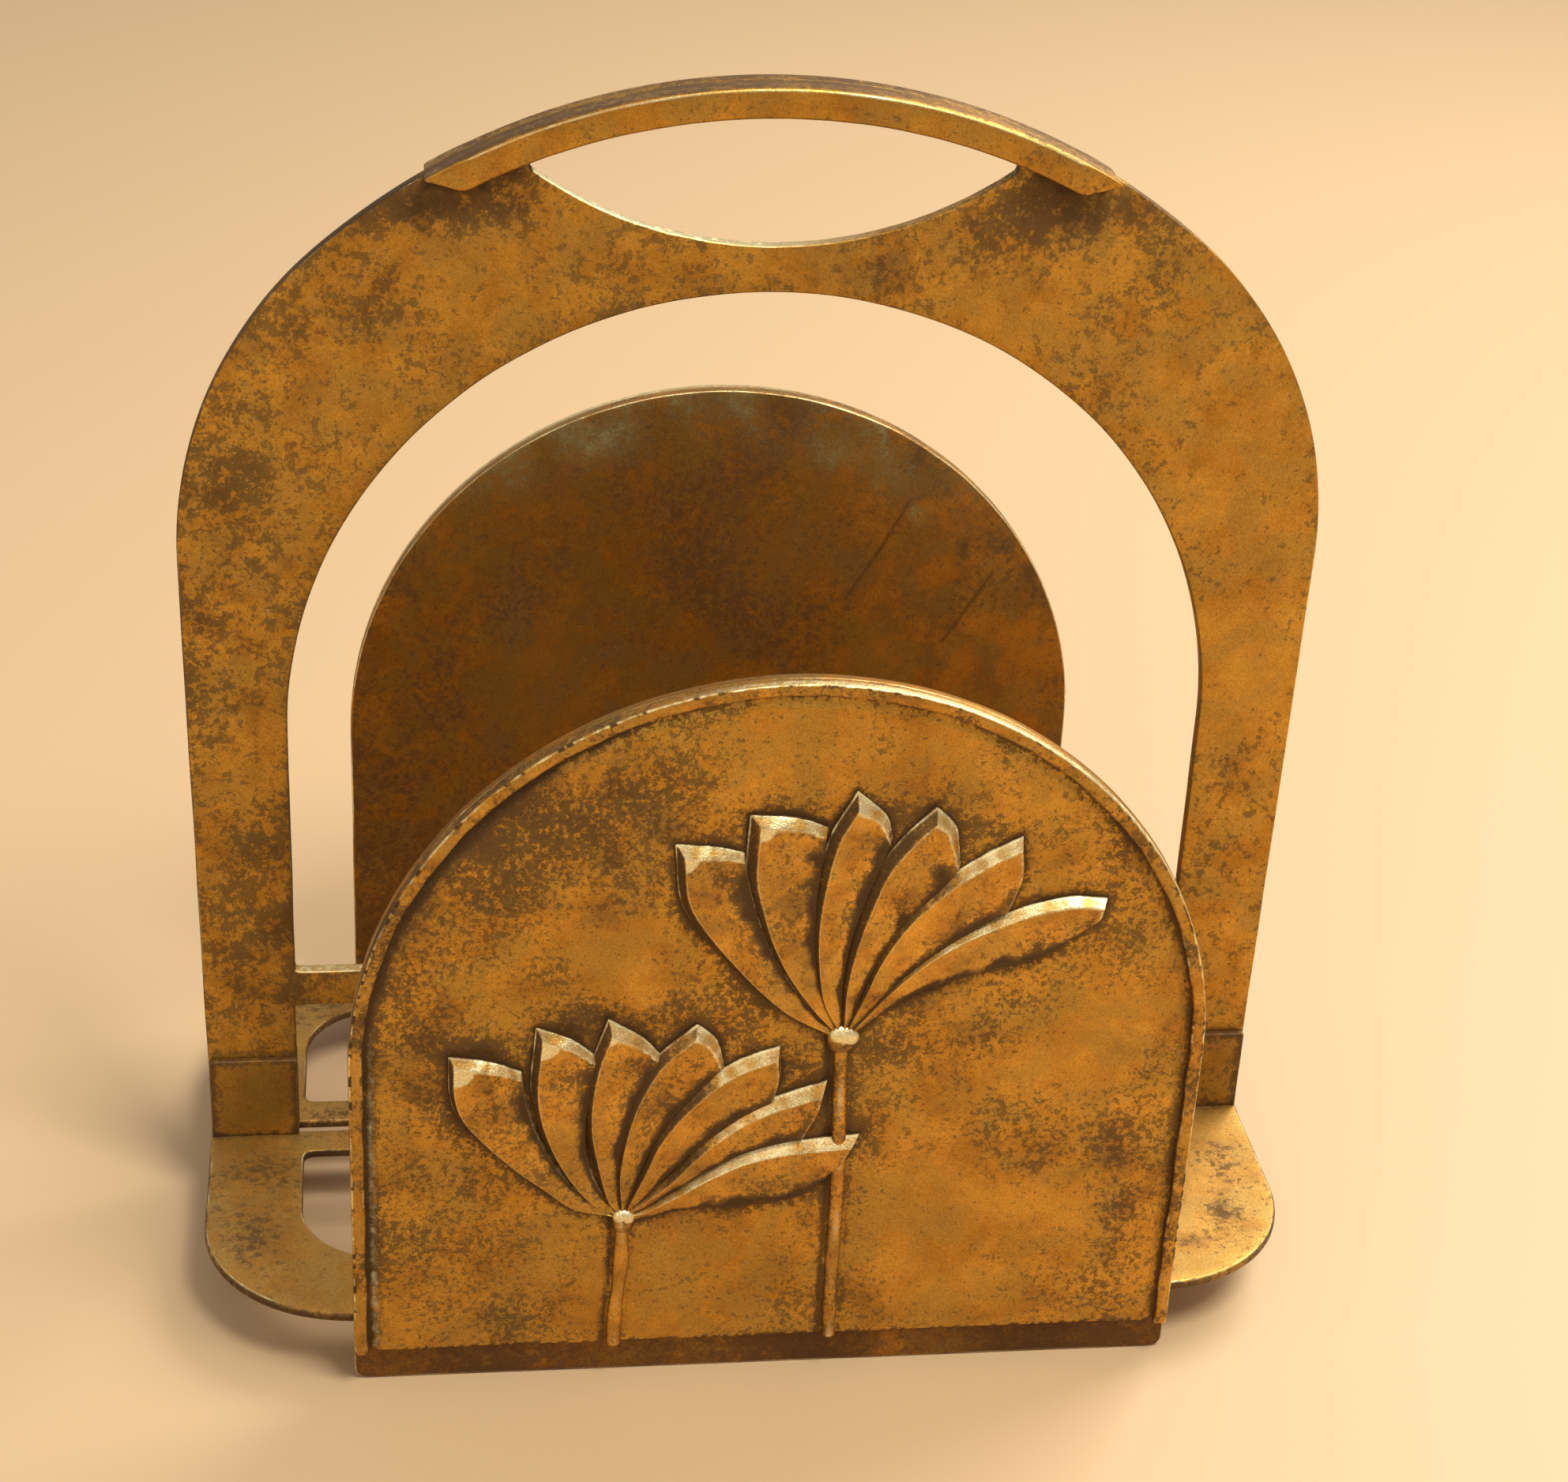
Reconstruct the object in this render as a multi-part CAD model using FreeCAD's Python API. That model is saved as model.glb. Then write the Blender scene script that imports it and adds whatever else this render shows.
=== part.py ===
import FreeCAD, Part
import math
import os

# Cast brass magazine rack. An arched centre plate stands between two round-topped
# side panels on a low base of two flat half plates. Nothing on it moves.
# Frame: millimetres, +Z up, X along the width, Y from pocket to pocket.
# The origin is the middle of the footprint, on the floor. The side panels' lower
# edges are the feet. The rear half is the front half turned half a turn about Z.

# --- Arched centre plate ----------------------------------------------------
ARCH_THICKNESS = 4.6
ARCH_HEIGHT = 372.0         # top of the crown above the floor
ARCH_HALF_WIDTH = 173.0     # at the shoulders, the widest place
LEG_TAPER = 2.5             # how far each leg comes in from shoulder to base
LEG_WIDTH = 28.0            # at the base
CROWN_FLATNESS = 23.0       # how much the crown's radius exceeds the half width
SHOULDER_RADIUS = 128.0
NECK_DEPTH = 13.5           # metal between the arched opening and the hand opening
CROSSBAR_TOP = 82.5
CROSSBAR_DEPTH = 12.5

# --- Handle -----------------------------------------------------------------
GRIP_DEPTH = 9.0            # the grip band, measured down from the crown
HAND_GAP_HALF = 70.0        # lens-shaped hand opening under the grip
HAND_GAP_DEPTH = 39.0       # its height in the middle
HAND_GAP_END = 3.0          # its height at its blunt ends
CHEEK_LAP = 18.0            # how far the cheeks' inner edges run past the opening
CHEEK_END_SLANT = 12.0      # how much further their outer edges run
CHEEK_THICKNESS = 5.2
CHEEK_BEVEL = 1.3

# --- Base -------------------------------------------------------------------
BASE_TOP = 22.0             # height of the base's upper face above the floor
BASE_THICKNESS = 3.0
BASE_MARGIN = 0.5           # base outside the legs
BASE_CORNER_RADIUS = 47.5   # the large rounded outer corners
BASE_SIDE_STRIP = 30.0      # strip of plate outside the D-shaped slot
BASE_INNER_STRIP = 11.7     # strip of plate between the centre gap and the slot
BASE_OUTER_STRIP = 27.5     # strip of plate between the slot and the side panel
SLOT_OUTER_RADIUS = 27.0
SLOT_INNER_RADIUS = 3.0
LUG_HEIGHT = 29.0           # upturned lugs lapped on the arch's legs
LUG_THICKNESS = 2.5

# --- Side panels ------------------------------------------------------------
PANEL_SPACING = 98.4        # from the arch's mid plane to a panel's inner face, at the floor
PANEL_LEAN = 1.0            # degrees outwards
PANEL_HALF_WIDTH = 124.8
PANEL_HEIGHT = 238.3
BACK_PLATE_THICKNESS = 3.2
FOOT_CORNER_RADIUS = 3.5
RIM_WIDTH = 4.0
RIM_THICKNESS = 3.8
RIM_BOTTOM = 12.0           # the rim and the relief plate stop short of the floor
RIM_JOINT = 0.4             # solder line between rim and relief plate
RELIEF_THICKNESS = 1.5
PETAL_RISE = 2.6
STEM_RISE = 1.8
PETAL_FOOT = 3.0            # width of a petal where it leaves the calyx
STEM_WIDTH = 4.0
CALYX_RADIUS = 4.0

# --- Fits -------------------------------------------------------------------
BRAZE_GAP = 0.1             # base edge to panel face
FOOT_TRIM = 2.0             # metal left below the floor line, then cut off flat

# Each petal: left side mid-point, left shoulder, tip, right shoulder, right side
# mid-point, as X and height on the panel. The petals start at their calyx.
UPPER_CALYX = (17.2, 121.0)
UPPER_STEM_FOOT = 19.3      # X of the stem's lower end
UPPER_PETALS = [
    [(-20.5, 154.5), (-33.0, 185.0), (-32.5, 188.0), (-14.0, 183.0), (-7.5, 157.0)],
    [(-8.5, 160.0), (-14.0, 187.0), (-11.6, 196.0), (8.5, 190.0), (7.0, 157.0)],
    [(7.0, 158.0), (8.5, 188.0), (16.5, 204.4), (26.8, 187.8), (18.5, 160.0)],
    [(18.5, 158.0), (28.0, 186.5), (38.5, 200.0), (46.7, 179.0), (29.0, 158.5)],
    [(30.5, 161.5), (48.5, 181.5), (64.5, 187.5), (62.5, 164.5), (40.0, 152.0)],
    [(41.0, 153.3), (70.0, 167.5), (89.9, 166.5), (80.0, 152.5), (49.4, 141.5)],
]
LOWER_CALYX = (-45.0, 59.0)
LOWER_STEM_FOOT = -46.8
LOWER_PETALS = [
    [(-82.0, 83.5), (-95.5, 108.0), (-95.5, 117.5), (-75.0, 111.5), (-69.5, 85.0)],
    [(-68.0, 86.0), (-72.0, 115.0), (-69.8, 126.5), (-54.3, 114.5), (-56.0, 85.0)],
    [(-55.3, 88.0), (-54.0, 113.0), (-50.5, 130.5), (-35.5, 114.8), (-46.0, 86.0)],
    [(-45.5, 88.0), (-35.5, 116.0), (-25.3, 130.0), (-17.5, 113.5), (-35.5, 88.5)],
    [(-33.5, 92.0), (-17.2, 113.5), (0.5, 120.8), (-3.0, 98.5), (-23.5, 84.5)],
    [(-22.5, 84.5), (-1.5, 100.3), (12.6, 105.5), (7.0, 86.0), (-18.0, 78.3)],
    [(-18.7, 78.2), (6.0, 85.5), (22.3, 86.3), (13.0, 71.5), (-12.6, 63.0)],
]

ARCH_FACE = ARCH_THICKNESS / 2.0
LEG_HALF_SPREAD = ARCH_HALF_WIDTH - LEG_TAPER
OPENING_HALF_WIDTH = LEG_HALF_SPREAD - LEG_WIDTH
CROWN_RADIUS = ARCH_HALF_WIDTH + CROWN_FLATNESS
CROWN_CENTRE = ARCH_HEIGHT - CROWN_RADIUS
GRIP_RADIUS = CROWN_RADIUS - GRIP_DEPTH
HAND_GAP_FLOOR = ARCH_HEIGHT - GRIP_DEPTH - HAND_GAP_DEPTH
OPENING_SPRING = HAND_GAP_FLOOR - NECK_DEPTH - OPENING_HALF_WIDTH
CHEEK_INNER_HALF = HAND_GAP_HALF + CHEEK_LAP
CHEEK_OUTER_HALF = CHEEK_INNER_HALF + CHEEK_END_SLANT
LEAN_SLOPE = math.tan(math.radians(PANEL_LEAN))
BASE_BOTTOM = BASE_TOP - BASE_THICKNESS
BASE_HALF_WIDTH = LEG_HALF_SPREAD + BASE_MARGIN
BASE_EDGE = PANEL_SPACING + BASE_BOTTOM * LEAN_SLOPE - BRAZE_GAP
SLOT_HALF_WIDTH = BASE_HALF_WIDTH - BASE_SIDE_STRIP
RELIEF_HALF_WIDTH = PANEL_HALF_WIDTH - RIM_WIDTH - RIM_JOINT
PANEL_SPRING = PANEL_HEIGHT - PANEL_HALF_WIDTH
ACROSS = FreeCAD.Vector(0, 1, 0)
SIDEWAYS = FreeCAD.Vector(1, 0, 0)
UP = FreeCAD.Vector(0, 0, 1)
ORIGIN = FreeCAD.Vector(0, 0, 0)


class Outline:
    """A closed outline, drawn edge by edge in an upright (X-Z) or flat (X-Y) plane."""

    def __init__(self, start, flat=False):
        self.flat = flat
        self.edges = []
        self.first = self.point(start)
        self.here = self.first

    def point(self, pair):
        """Turn a pair of plane coordinates into a 3-D point."""
        if self.flat:
            return FreeCAD.Vector(pair[0], pair[1], 0)
        return FreeCAD.Vector(pair[0], 0, pair[1])

    def line(self, end):
        """Add a straight edge to the given point."""
        target = self.point(end)
        self.edges.append(Part.makeLine(self.here, target))
        self.here = target
        return self

    def arc(self, middle, end):
        """Add an arc through a middle point to an end point."""
        target = self.point(end)
        self.edges.append(Part.Arc(self.here, self.point(middle), target).toShape())
        self.here = target
        return self

    def solid(self, start, depth):
        """Close the outline and pull it to a solid from `start` over `depth`."""
        if self.here.distanceToPoint(self.first) > 1e-6:
            self.edges.append(Part.makeLine(self.here, self.first))
        face = Part.Face(Part.Wire(Part.sortEdges(self.edges)[0]))
        normal = UP if self.flat else ACROSS
        face.translate(normal * start)
        return face.extrude(normal * depth)


def on_circle(centre, radius, degrees):
    """The point of a circle at an angle from the plane's first axis."""
    angle = math.radians(degrees)
    return (centre[0] + radius * math.cos(angle), centre[1] + radius * math.sin(angle))


def height_on_circle(centre_height, radius, x):
    """The upper height of a circle centred on the Z axis, at a distance x from it."""
    return centre_height + math.sqrt(radius ** 2 - x ** 2)


def rounded(solid, radius, keep):
    """Round the edges of a solid whose mid-point passes the test `keep`."""
    edges = [edge for edge in solid.Edges if keep(edge.CenterOfMass)]
    return solid.makeFillet(radius, edges)


def arch_outer():
    """The arched plate's outline: legs, shoulders and crown as one tangent run."""
    shoulder_x = ARCH_HALF_WIDTH - SHOULDER_RADIUS
    rise = math.sqrt((CROWN_RADIUS - SHOULDER_RADIUS) ** 2 - shoulder_x ** 2)
    shoulder = (shoulder_x, CROWN_CENTRE + rise)
    turn = math.degrees(math.atan2(rise, shoulder_x))
    middle = on_circle(shoulder, SHOULDER_RADIUS, turn / 2.0)
    joint = on_circle(shoulder, SHOULDER_RADIUS, turn)
    outline = Outline((LEG_HALF_SPREAD, BASE_BOTTOM))
    outline.line((ARCH_HALF_WIDTH, shoulder[1]))
    outline.arc(middle, joint)
    outline.arc((0, ARCH_HEIGHT), (-joint[0], joint[1]))
    outline.arc((-middle[0], middle[1]), (-ARCH_HALF_WIDTH, shoulder[1]))
    outline.line((-LEG_HALF_SPREAD, BASE_BOTTOM))
    return outline.solid(-ARCH_FACE, ARCH_THICKNESS)


def round_headed(half_width, bottom, spring, start, depth):
    """A plate with straight sides and a half-round head."""
    outline = Outline((half_width, bottom))
    outline.line((half_width, spring))
    outline.arc((0, spring + half_width), (-half_width, spring))
    outline.line((-half_width, bottom))
    return outline.solid(start, depth)


def hand_gap():
    """The lens-shaped hand opening, cut right through the crown."""
    roof_end = height_on_circle(CROWN_CENTRE, GRIP_RADIUS, HAND_GAP_HALF)
    floor_end = roof_end - HAND_GAP_END
    outline = Outline((-HAND_GAP_HALF, floor_end))
    outline.arc((0, HAND_GAP_FLOOR), (HAND_GAP_HALF, floor_end))
    outline.line((HAND_GAP_HALF, roof_end))
    outline.arc((0, CROWN_CENTRE + GRIP_RADIUS), (-HAND_GAP_HALF, roof_end))
    return outline.solid(-ARCH_THICKNESS, 2 * ARCH_THICKNESS)


def arch_frame():
    """The arched centre plate with its opening, crossbar, leg gap and hand opening."""
    plate = arch_outer()
    opening = round_headed(OPENING_HALF_WIDTH, CROSSBAR_TOP, OPENING_SPRING,
                           -ARCH_THICKNESS, 2 * ARCH_THICKNESS)
    leg_gap = Part.makeBox(2 * OPENING_HALF_WIDTH, 2 * ARCH_THICKNESS,
                           CROSSBAR_TOP - CROSSBAR_DEPTH,
                           FreeCAD.Vector(-OPENING_HALF_WIDTH, -ARCH_THICKNESS, 0))
    return plate.cut(opening).cut(leg_gap).cut(hand_gap())


def grip_cheek():
    """One curved cheek of the grip, on the front face of the crown."""
    outer_end = height_on_circle(CROWN_CENTRE, CROWN_RADIUS, CHEEK_OUTER_HALF)
    inner_end = height_on_circle(CROWN_CENTRE, GRIP_RADIUS, CHEEK_INNER_HALF)
    outline = Outline((-CHEEK_OUTER_HALF, outer_end))
    outline.arc((0, ARCH_HEIGHT), (CHEEK_OUTER_HALF, outer_end))
    outline.line((CHEEK_INNER_HALF, inner_end))
    outline.arc((0, CROWN_CENTRE + GRIP_RADIUS), (-CHEEK_INNER_HALF, inner_end))
    cheek = outline.solid(-ARCH_FACE - CHEEK_THICKNESS, CHEEK_THICKNESS)
    front = -ARCH_FACE - CHEEK_THICKNESS
    crown_edges = [edge for edge in cheek.Edges
                   if abs(edge.CenterOfMass.y - front) < 0.01
                   and abs(edge.BoundBox.ZMax - ARCH_HEIGHT) < 0.01]
    return cheek.makeChamfer(CHEEK_BEVEL, crown_edges)


def half_plate():
    """The flat half plate: square to the arch, with two large rounded outer corners."""
    corner_x = BASE_HALF_WIDTH - BASE_CORNER_RADIUS
    corner_y = -BASE_EDGE + BASE_CORNER_RADIUS
    right_middle = on_circle((corner_x, corner_y), BASE_CORNER_RADIUS, -45)
    outline = Outline((BASE_HALF_WIDTH, -ARCH_FACE), flat=True)
    outline.line((BASE_HALF_WIDTH, corner_y))
    outline.arc(right_middle, (corner_x, -BASE_EDGE))
    outline.line((-corner_x, -BASE_EDGE))
    outline.arc((-right_middle[0], right_middle[1]), (-BASE_HALF_WIDTH, corner_y))
    outline.line((-BASE_HALF_WIDTH, -ARCH_FACE))
    return outline.solid(BASE_BOTTOM, BASE_THICKNESS)


def base_slot():
    """The D-shaped slot: two large corners by the panel, two small ones by the arch."""
    near = -ARCH_FACE - BASE_INNER_STRIP
    far = -BASE_EDGE + BASE_OUTER_STRIP
    slot = Part.makeBox(2 * SLOT_HALF_WIDTH, near - far, 3 * BASE_THICKNESS,
                        FreeCAD.Vector(-SLOT_HALF_WIDTH, far, BASE_BOTTOM - BASE_THICKNESS))
    centre_y = (near + far) / 2.0
    side = SLOT_HALF_WIDTH - 1.0
    slot = rounded(slot, SLOT_OUTER_RADIUS,
                   lambda p: abs(p.x) > side and p.y < centre_y and abs(p.y - far) < 0.01)
    return rounded(slot, SLOT_INNER_RADIUS,
                   lambda p: abs(p.x) > side and abs(p.y - near) < 0.01)


def base_plate():
    """Half plate with its slot and the two lugs that lap on the arch's legs."""
    plate = half_plate().cut(base_slot())
    lug_width = LEG_HALF_SPREAD - OPENING_HALF_WIDTH
    for left in (-LEG_HALF_SPREAD, OPENING_HALF_WIDTH):
        lug = Part.makeBox(lug_width, LUG_THICKNESS, BASE_THICKNESS + LUG_HEIGHT,
                           FreeCAD.Vector(left, -ARCH_FACE - LUG_THICKNESS, BASE_BOTTOM))
        plate = plate.fuse(lug)
    return plate.removeSplitter()


def leaned(solid):
    """Stand a panel piece, drawn with its inner face at y = 0, in its leaning place."""
    solid.rotate(ORIGIN, SIDEWAYS, PANEL_LEAN)
    solid.translate(ACROSS * -PANEL_SPACING)
    return solid


def back_plate():
    """The panel's flat back plate, down to the floor, its foot cut level."""
    plate = round_headed(PANEL_HALF_WIDTH, -FOOT_TRIM, PANEL_SPRING,
                         -BACK_PLATE_THICKNESS, BACK_PLATE_THICKNESS)
    plate = leaned(plate)
    reach = 2 * PANEL_SPACING
    below = Part.makeBox(2 * reach, reach, reach, FreeCAD.Vector(-reach, -reach, -reach))
    plate = plate.cut(below)
    return rounded(plate, FOOT_CORNER_RADIUS,
                   lambda p: abs(p.z) < 0.01 and abs(abs(p.x) - PANEL_HALF_WIDTH) < 0.01)


def rim_strip():
    """The raised rim, a strip bent round the panel's head."""
    front = -BACK_PLATE_THICKNESS - RIM_THICKNESS
    outer = round_headed(PANEL_HALF_WIDTH, RIM_BOTTOM, PANEL_SPRING, front, RIM_THICKNESS)
    inner = round_headed(PANEL_HALF_WIDTH - RIM_WIDTH, 0, PANEL_SPRING,
                         front - RIM_THICKNESS, 3 * RIM_THICKNESS)
    return leaned(outer.cut(inner))


def petal(calyx, sides):
    """One raised petal: two bowed sides from the calyx to the shoulders, and a tip."""
    left_middle, left, tip, right, right_middle = sides
    ground = -BACK_PLATE_THICKNESS - RELIEF_THICKNESS
    along = math.atan2(tip[1] - calyx[1], tip[0] - calyx[0])
    aside_x = PETAL_FOOT / 2.0 * math.sin(along)
    aside_z = PETAL_FOOT / 2.0 * math.cos(along)
    outline = Outline((calyx[0] - aside_x, calyx[1] + aside_z))
    outline.arc(left_middle, left)
    outline.line(tip)
    outline.line(right)
    outline.arc(right_middle, (calyx[0] + aside_x, calyx[1] - aside_z))
    return outline.solid(ground - PETAL_RISE, PETAL_RISE + RELIEF_THICKNESS / 2.0)


def stem(calyx, foot_x):
    """The straight stem from a calyx down to the relief plate's lower edge."""
    ground = -BACK_PLATE_THICKNESS - RELIEF_THICKNESS
    half = STEM_WIDTH / 2.0
    outline = Outline((calyx[0] - half, calyx[1]))
    outline.line((foot_x - half, RIM_BOTTOM))
    outline.line((foot_x + half, RIM_BOTTOM))
    outline.line((calyx[0] + half, calyx[1]))
    return outline.solid(ground - STEM_RISE, STEM_RISE + RELIEF_THICKNESS / 2.0)


def calyx_boss(calyx):
    """The round calyx where the petals and the stem meet."""
    ground = -BACK_PLATE_THICKNESS - RELIEF_THICKNESS
    centre = FreeCAD.Vector(calyx[0], ground + RELIEF_THICKNESS / 2.0, calyx[1])
    return Part.makeCylinder(CALYX_RADIUS, PETAL_RISE + RELIEF_THICKNESS / 2.0,
                             centre, ACROSS * -1)


def relief_plate():
    """The cast relief plate inside the rim, with its two lotus flowers."""
    plate = round_headed(RELIEF_HALF_WIDTH, RIM_BOTTOM, PANEL_SPRING,
                         -BACK_PLATE_THICKNESS - RELIEF_THICKNESS, RELIEF_THICKNESS)
    raised = []
    flowers = (
        (UPPER_CALYX, UPPER_STEM_FOOT, UPPER_PETALS),
        (LOWER_CALYX, LOWER_STEM_FOOT, LOWER_PETALS),
    )
    for calyx, foot_x, petals in flowers:
        raised += [petal(calyx, sides) for sides in petals]
        raised.append(stem(calyx, foot_x))
        raised.append(calyx_boss(calyx))
    return leaned(plate.fuse(raised).removeSplitter())


def turned(solid):
    """A copy of a front piece, turned half a turn about Z to its place at the rear."""
    copy = solid.copy()
    copy.rotate(ORIGIN, UP, 180)
    return copy


def save(name, solid):
    """Write one sub-part to its own STEP file."""
    if not solid.isValid():
        raise ValueError(name + " is not a valid solid")
    solid.exportStep("parts/" + name + ".step")


def main():
    """Build every piece and write it out."""
    os.makedirs("parts", exist_ok=True)
    save("arch_frame", arch_frame())
    pairs = {
        "grip_cheek": grip_cheek(),
        "base_plate": base_plate(),
        "back_plate": back_plate(),
        "relief_plate": relief_plate(),
        "rim_strip": rim_strip(),
    }
    for name, solid in pairs.items():
        save(name + "_front", solid)
        save(name + "_rear", turned(solid))


main()
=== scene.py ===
import logging
import math
from dataclasses import dataclass
from enum import Enum
from typing import Callable, Sequence

import bmesh
import bpy
import numpy as np
from mathutils import Matrix, Vector
from mathutils.geometry import delaunay_2d_cdt


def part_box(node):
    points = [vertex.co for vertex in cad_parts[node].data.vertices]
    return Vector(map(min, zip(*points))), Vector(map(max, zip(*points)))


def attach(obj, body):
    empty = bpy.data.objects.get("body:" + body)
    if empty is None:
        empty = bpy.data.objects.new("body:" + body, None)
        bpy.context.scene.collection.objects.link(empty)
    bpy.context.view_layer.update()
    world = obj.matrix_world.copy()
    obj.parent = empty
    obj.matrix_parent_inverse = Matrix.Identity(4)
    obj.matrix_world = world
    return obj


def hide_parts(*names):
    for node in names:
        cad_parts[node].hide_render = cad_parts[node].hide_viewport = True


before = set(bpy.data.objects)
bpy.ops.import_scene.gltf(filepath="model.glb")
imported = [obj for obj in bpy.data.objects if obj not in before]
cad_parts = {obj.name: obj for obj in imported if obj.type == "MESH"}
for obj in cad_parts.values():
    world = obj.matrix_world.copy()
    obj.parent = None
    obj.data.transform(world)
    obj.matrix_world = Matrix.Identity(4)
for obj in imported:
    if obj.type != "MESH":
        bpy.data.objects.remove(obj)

# Cast brass magazine rack: an arched centre plate with a grip, two flat half bases,
# and two round-topped side panels with a rim and a lotus relief. Sizes below are
# millimetres unless a name says otherwise; a mesh is turned into metres as it is made.

LOG = logging.getLogger("magazine_rack")
MM = 0.001
BODY = "root"
SEAM = 4e-6                 # points closer than this, in metres, are one
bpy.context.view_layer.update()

Pairs = Sequence[tuple[float, float]]


class Side(Enum):
    """Which half of the rack a piece belongs to."""

    FRONT = "front"
    REAR = "rear"


# ---------------------------------------------------------------- small geometry

# Stains are ovals on a face: middle across, middle up, the two half widths, strength.
Stains = tuple[tuple[float, float, float, float, float], ...]


def cad_box(node: str) -> tuple[np.ndarray, np.ndarray]:
    """The lowest and highest corner of a CAD node, in millimetres.

    Args:
        node: the CAD node's name.
    Returns:
        Two arrays of three numbers.
    """
    low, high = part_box(node)
    return np.array(low) / MM, np.array(high) / MM


def smooth_step(value: np.ndarray, low: float, high: float) -> np.ndarray:
    """Rise from 0 at `low` to 1 at `high` as 3t^2 - 2t^3.

    Args:
        value: the numbers to shape.
        low: where the rise starts.
        high: where it ends.
    Returns:
        The shaped numbers, 0 to 1.
    """
    t = np.clip((value - low) / (high - low), 0.0, 1.0)
    return t * t * (3.0 - 2.0 * t)


def ripple(points: np.ndarray, size: float, seed: int, waves: int = 9) -> np.ndarray:
    """Soft random waves: a sum of sines in random directions, about -1 to 1.

    Args:
        points: places, one per row.
        size: the middle wavelength.
        seed: picks the directions and phases.
        waves: how many sines are added.
    Returns:
        One number per place.
    """
    rng = np.random.default_rng(seed)
    heading = rng.normal(size=(waves, points.shape[1]))
    heading /= np.linalg.norm(heading, axis=1, keepdims=True)
    pitch = 2.0 * math.pi / (size * rng.uniform(0.6, 1.6, waves))
    phase = rng.uniform(0.0, 2.0 * math.pi, waves)
    return np.sin(points @ (heading * pitch[:, None]).T + phase).sum(1) / math.sqrt(2.0 * waves)


def spline(knots: Pairs, count: int) -> np.ndarray:
    """A Catmull-Rom curve through the knots, evenly spaced along its length.

    Each span is the cubic whose end slopes are half the chord of its neighbours.

    Args:
        knots: the points it passes through, in order.
        count: how many points to return.
    Returns:
        `count` points, one per row.
    """
    p = np.asarray(knots, float)
    p = np.vstack([2.0 * p[0] - p[1], p, 2.0 * p[-1] - p[-2]])
    t = np.linspace(0.0, 1.0, 24, endpoint=False)[None, :, None]
    a, b, c, d = (p[i:len(p) - 3 + i, None, :] for i in range(4))
    curve = 0.5 * (2.0 * b + (c - a) * t + (2.0 * a - 5.0 * b + 4.0 * c - d) * t ** 2
                   + (3.0 * b - a - 3.0 * c + d) * t ** 3)
    return respaced(np.vstack([curve.reshape(-1, p.shape[1]), p[-2:-1]]), count)


def respaced(points: np.ndarray, count: int) -> np.ndarray:
    """The same open line with `count` points at even spacing along it.

    Args:
        points: the line.
        count: how many points to return.
    Returns:
        The new points, one per row.
    """
    run = np.concatenate([[0.0], np.cumsum(np.linalg.norm(np.diff(points, axis=0), axis=1))])
    at = np.linspace(0.0, run[-1], count)
    return np.stack([np.interp(at, run, points[:, k]) for k in range(points.shape[1])], 1)


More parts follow.
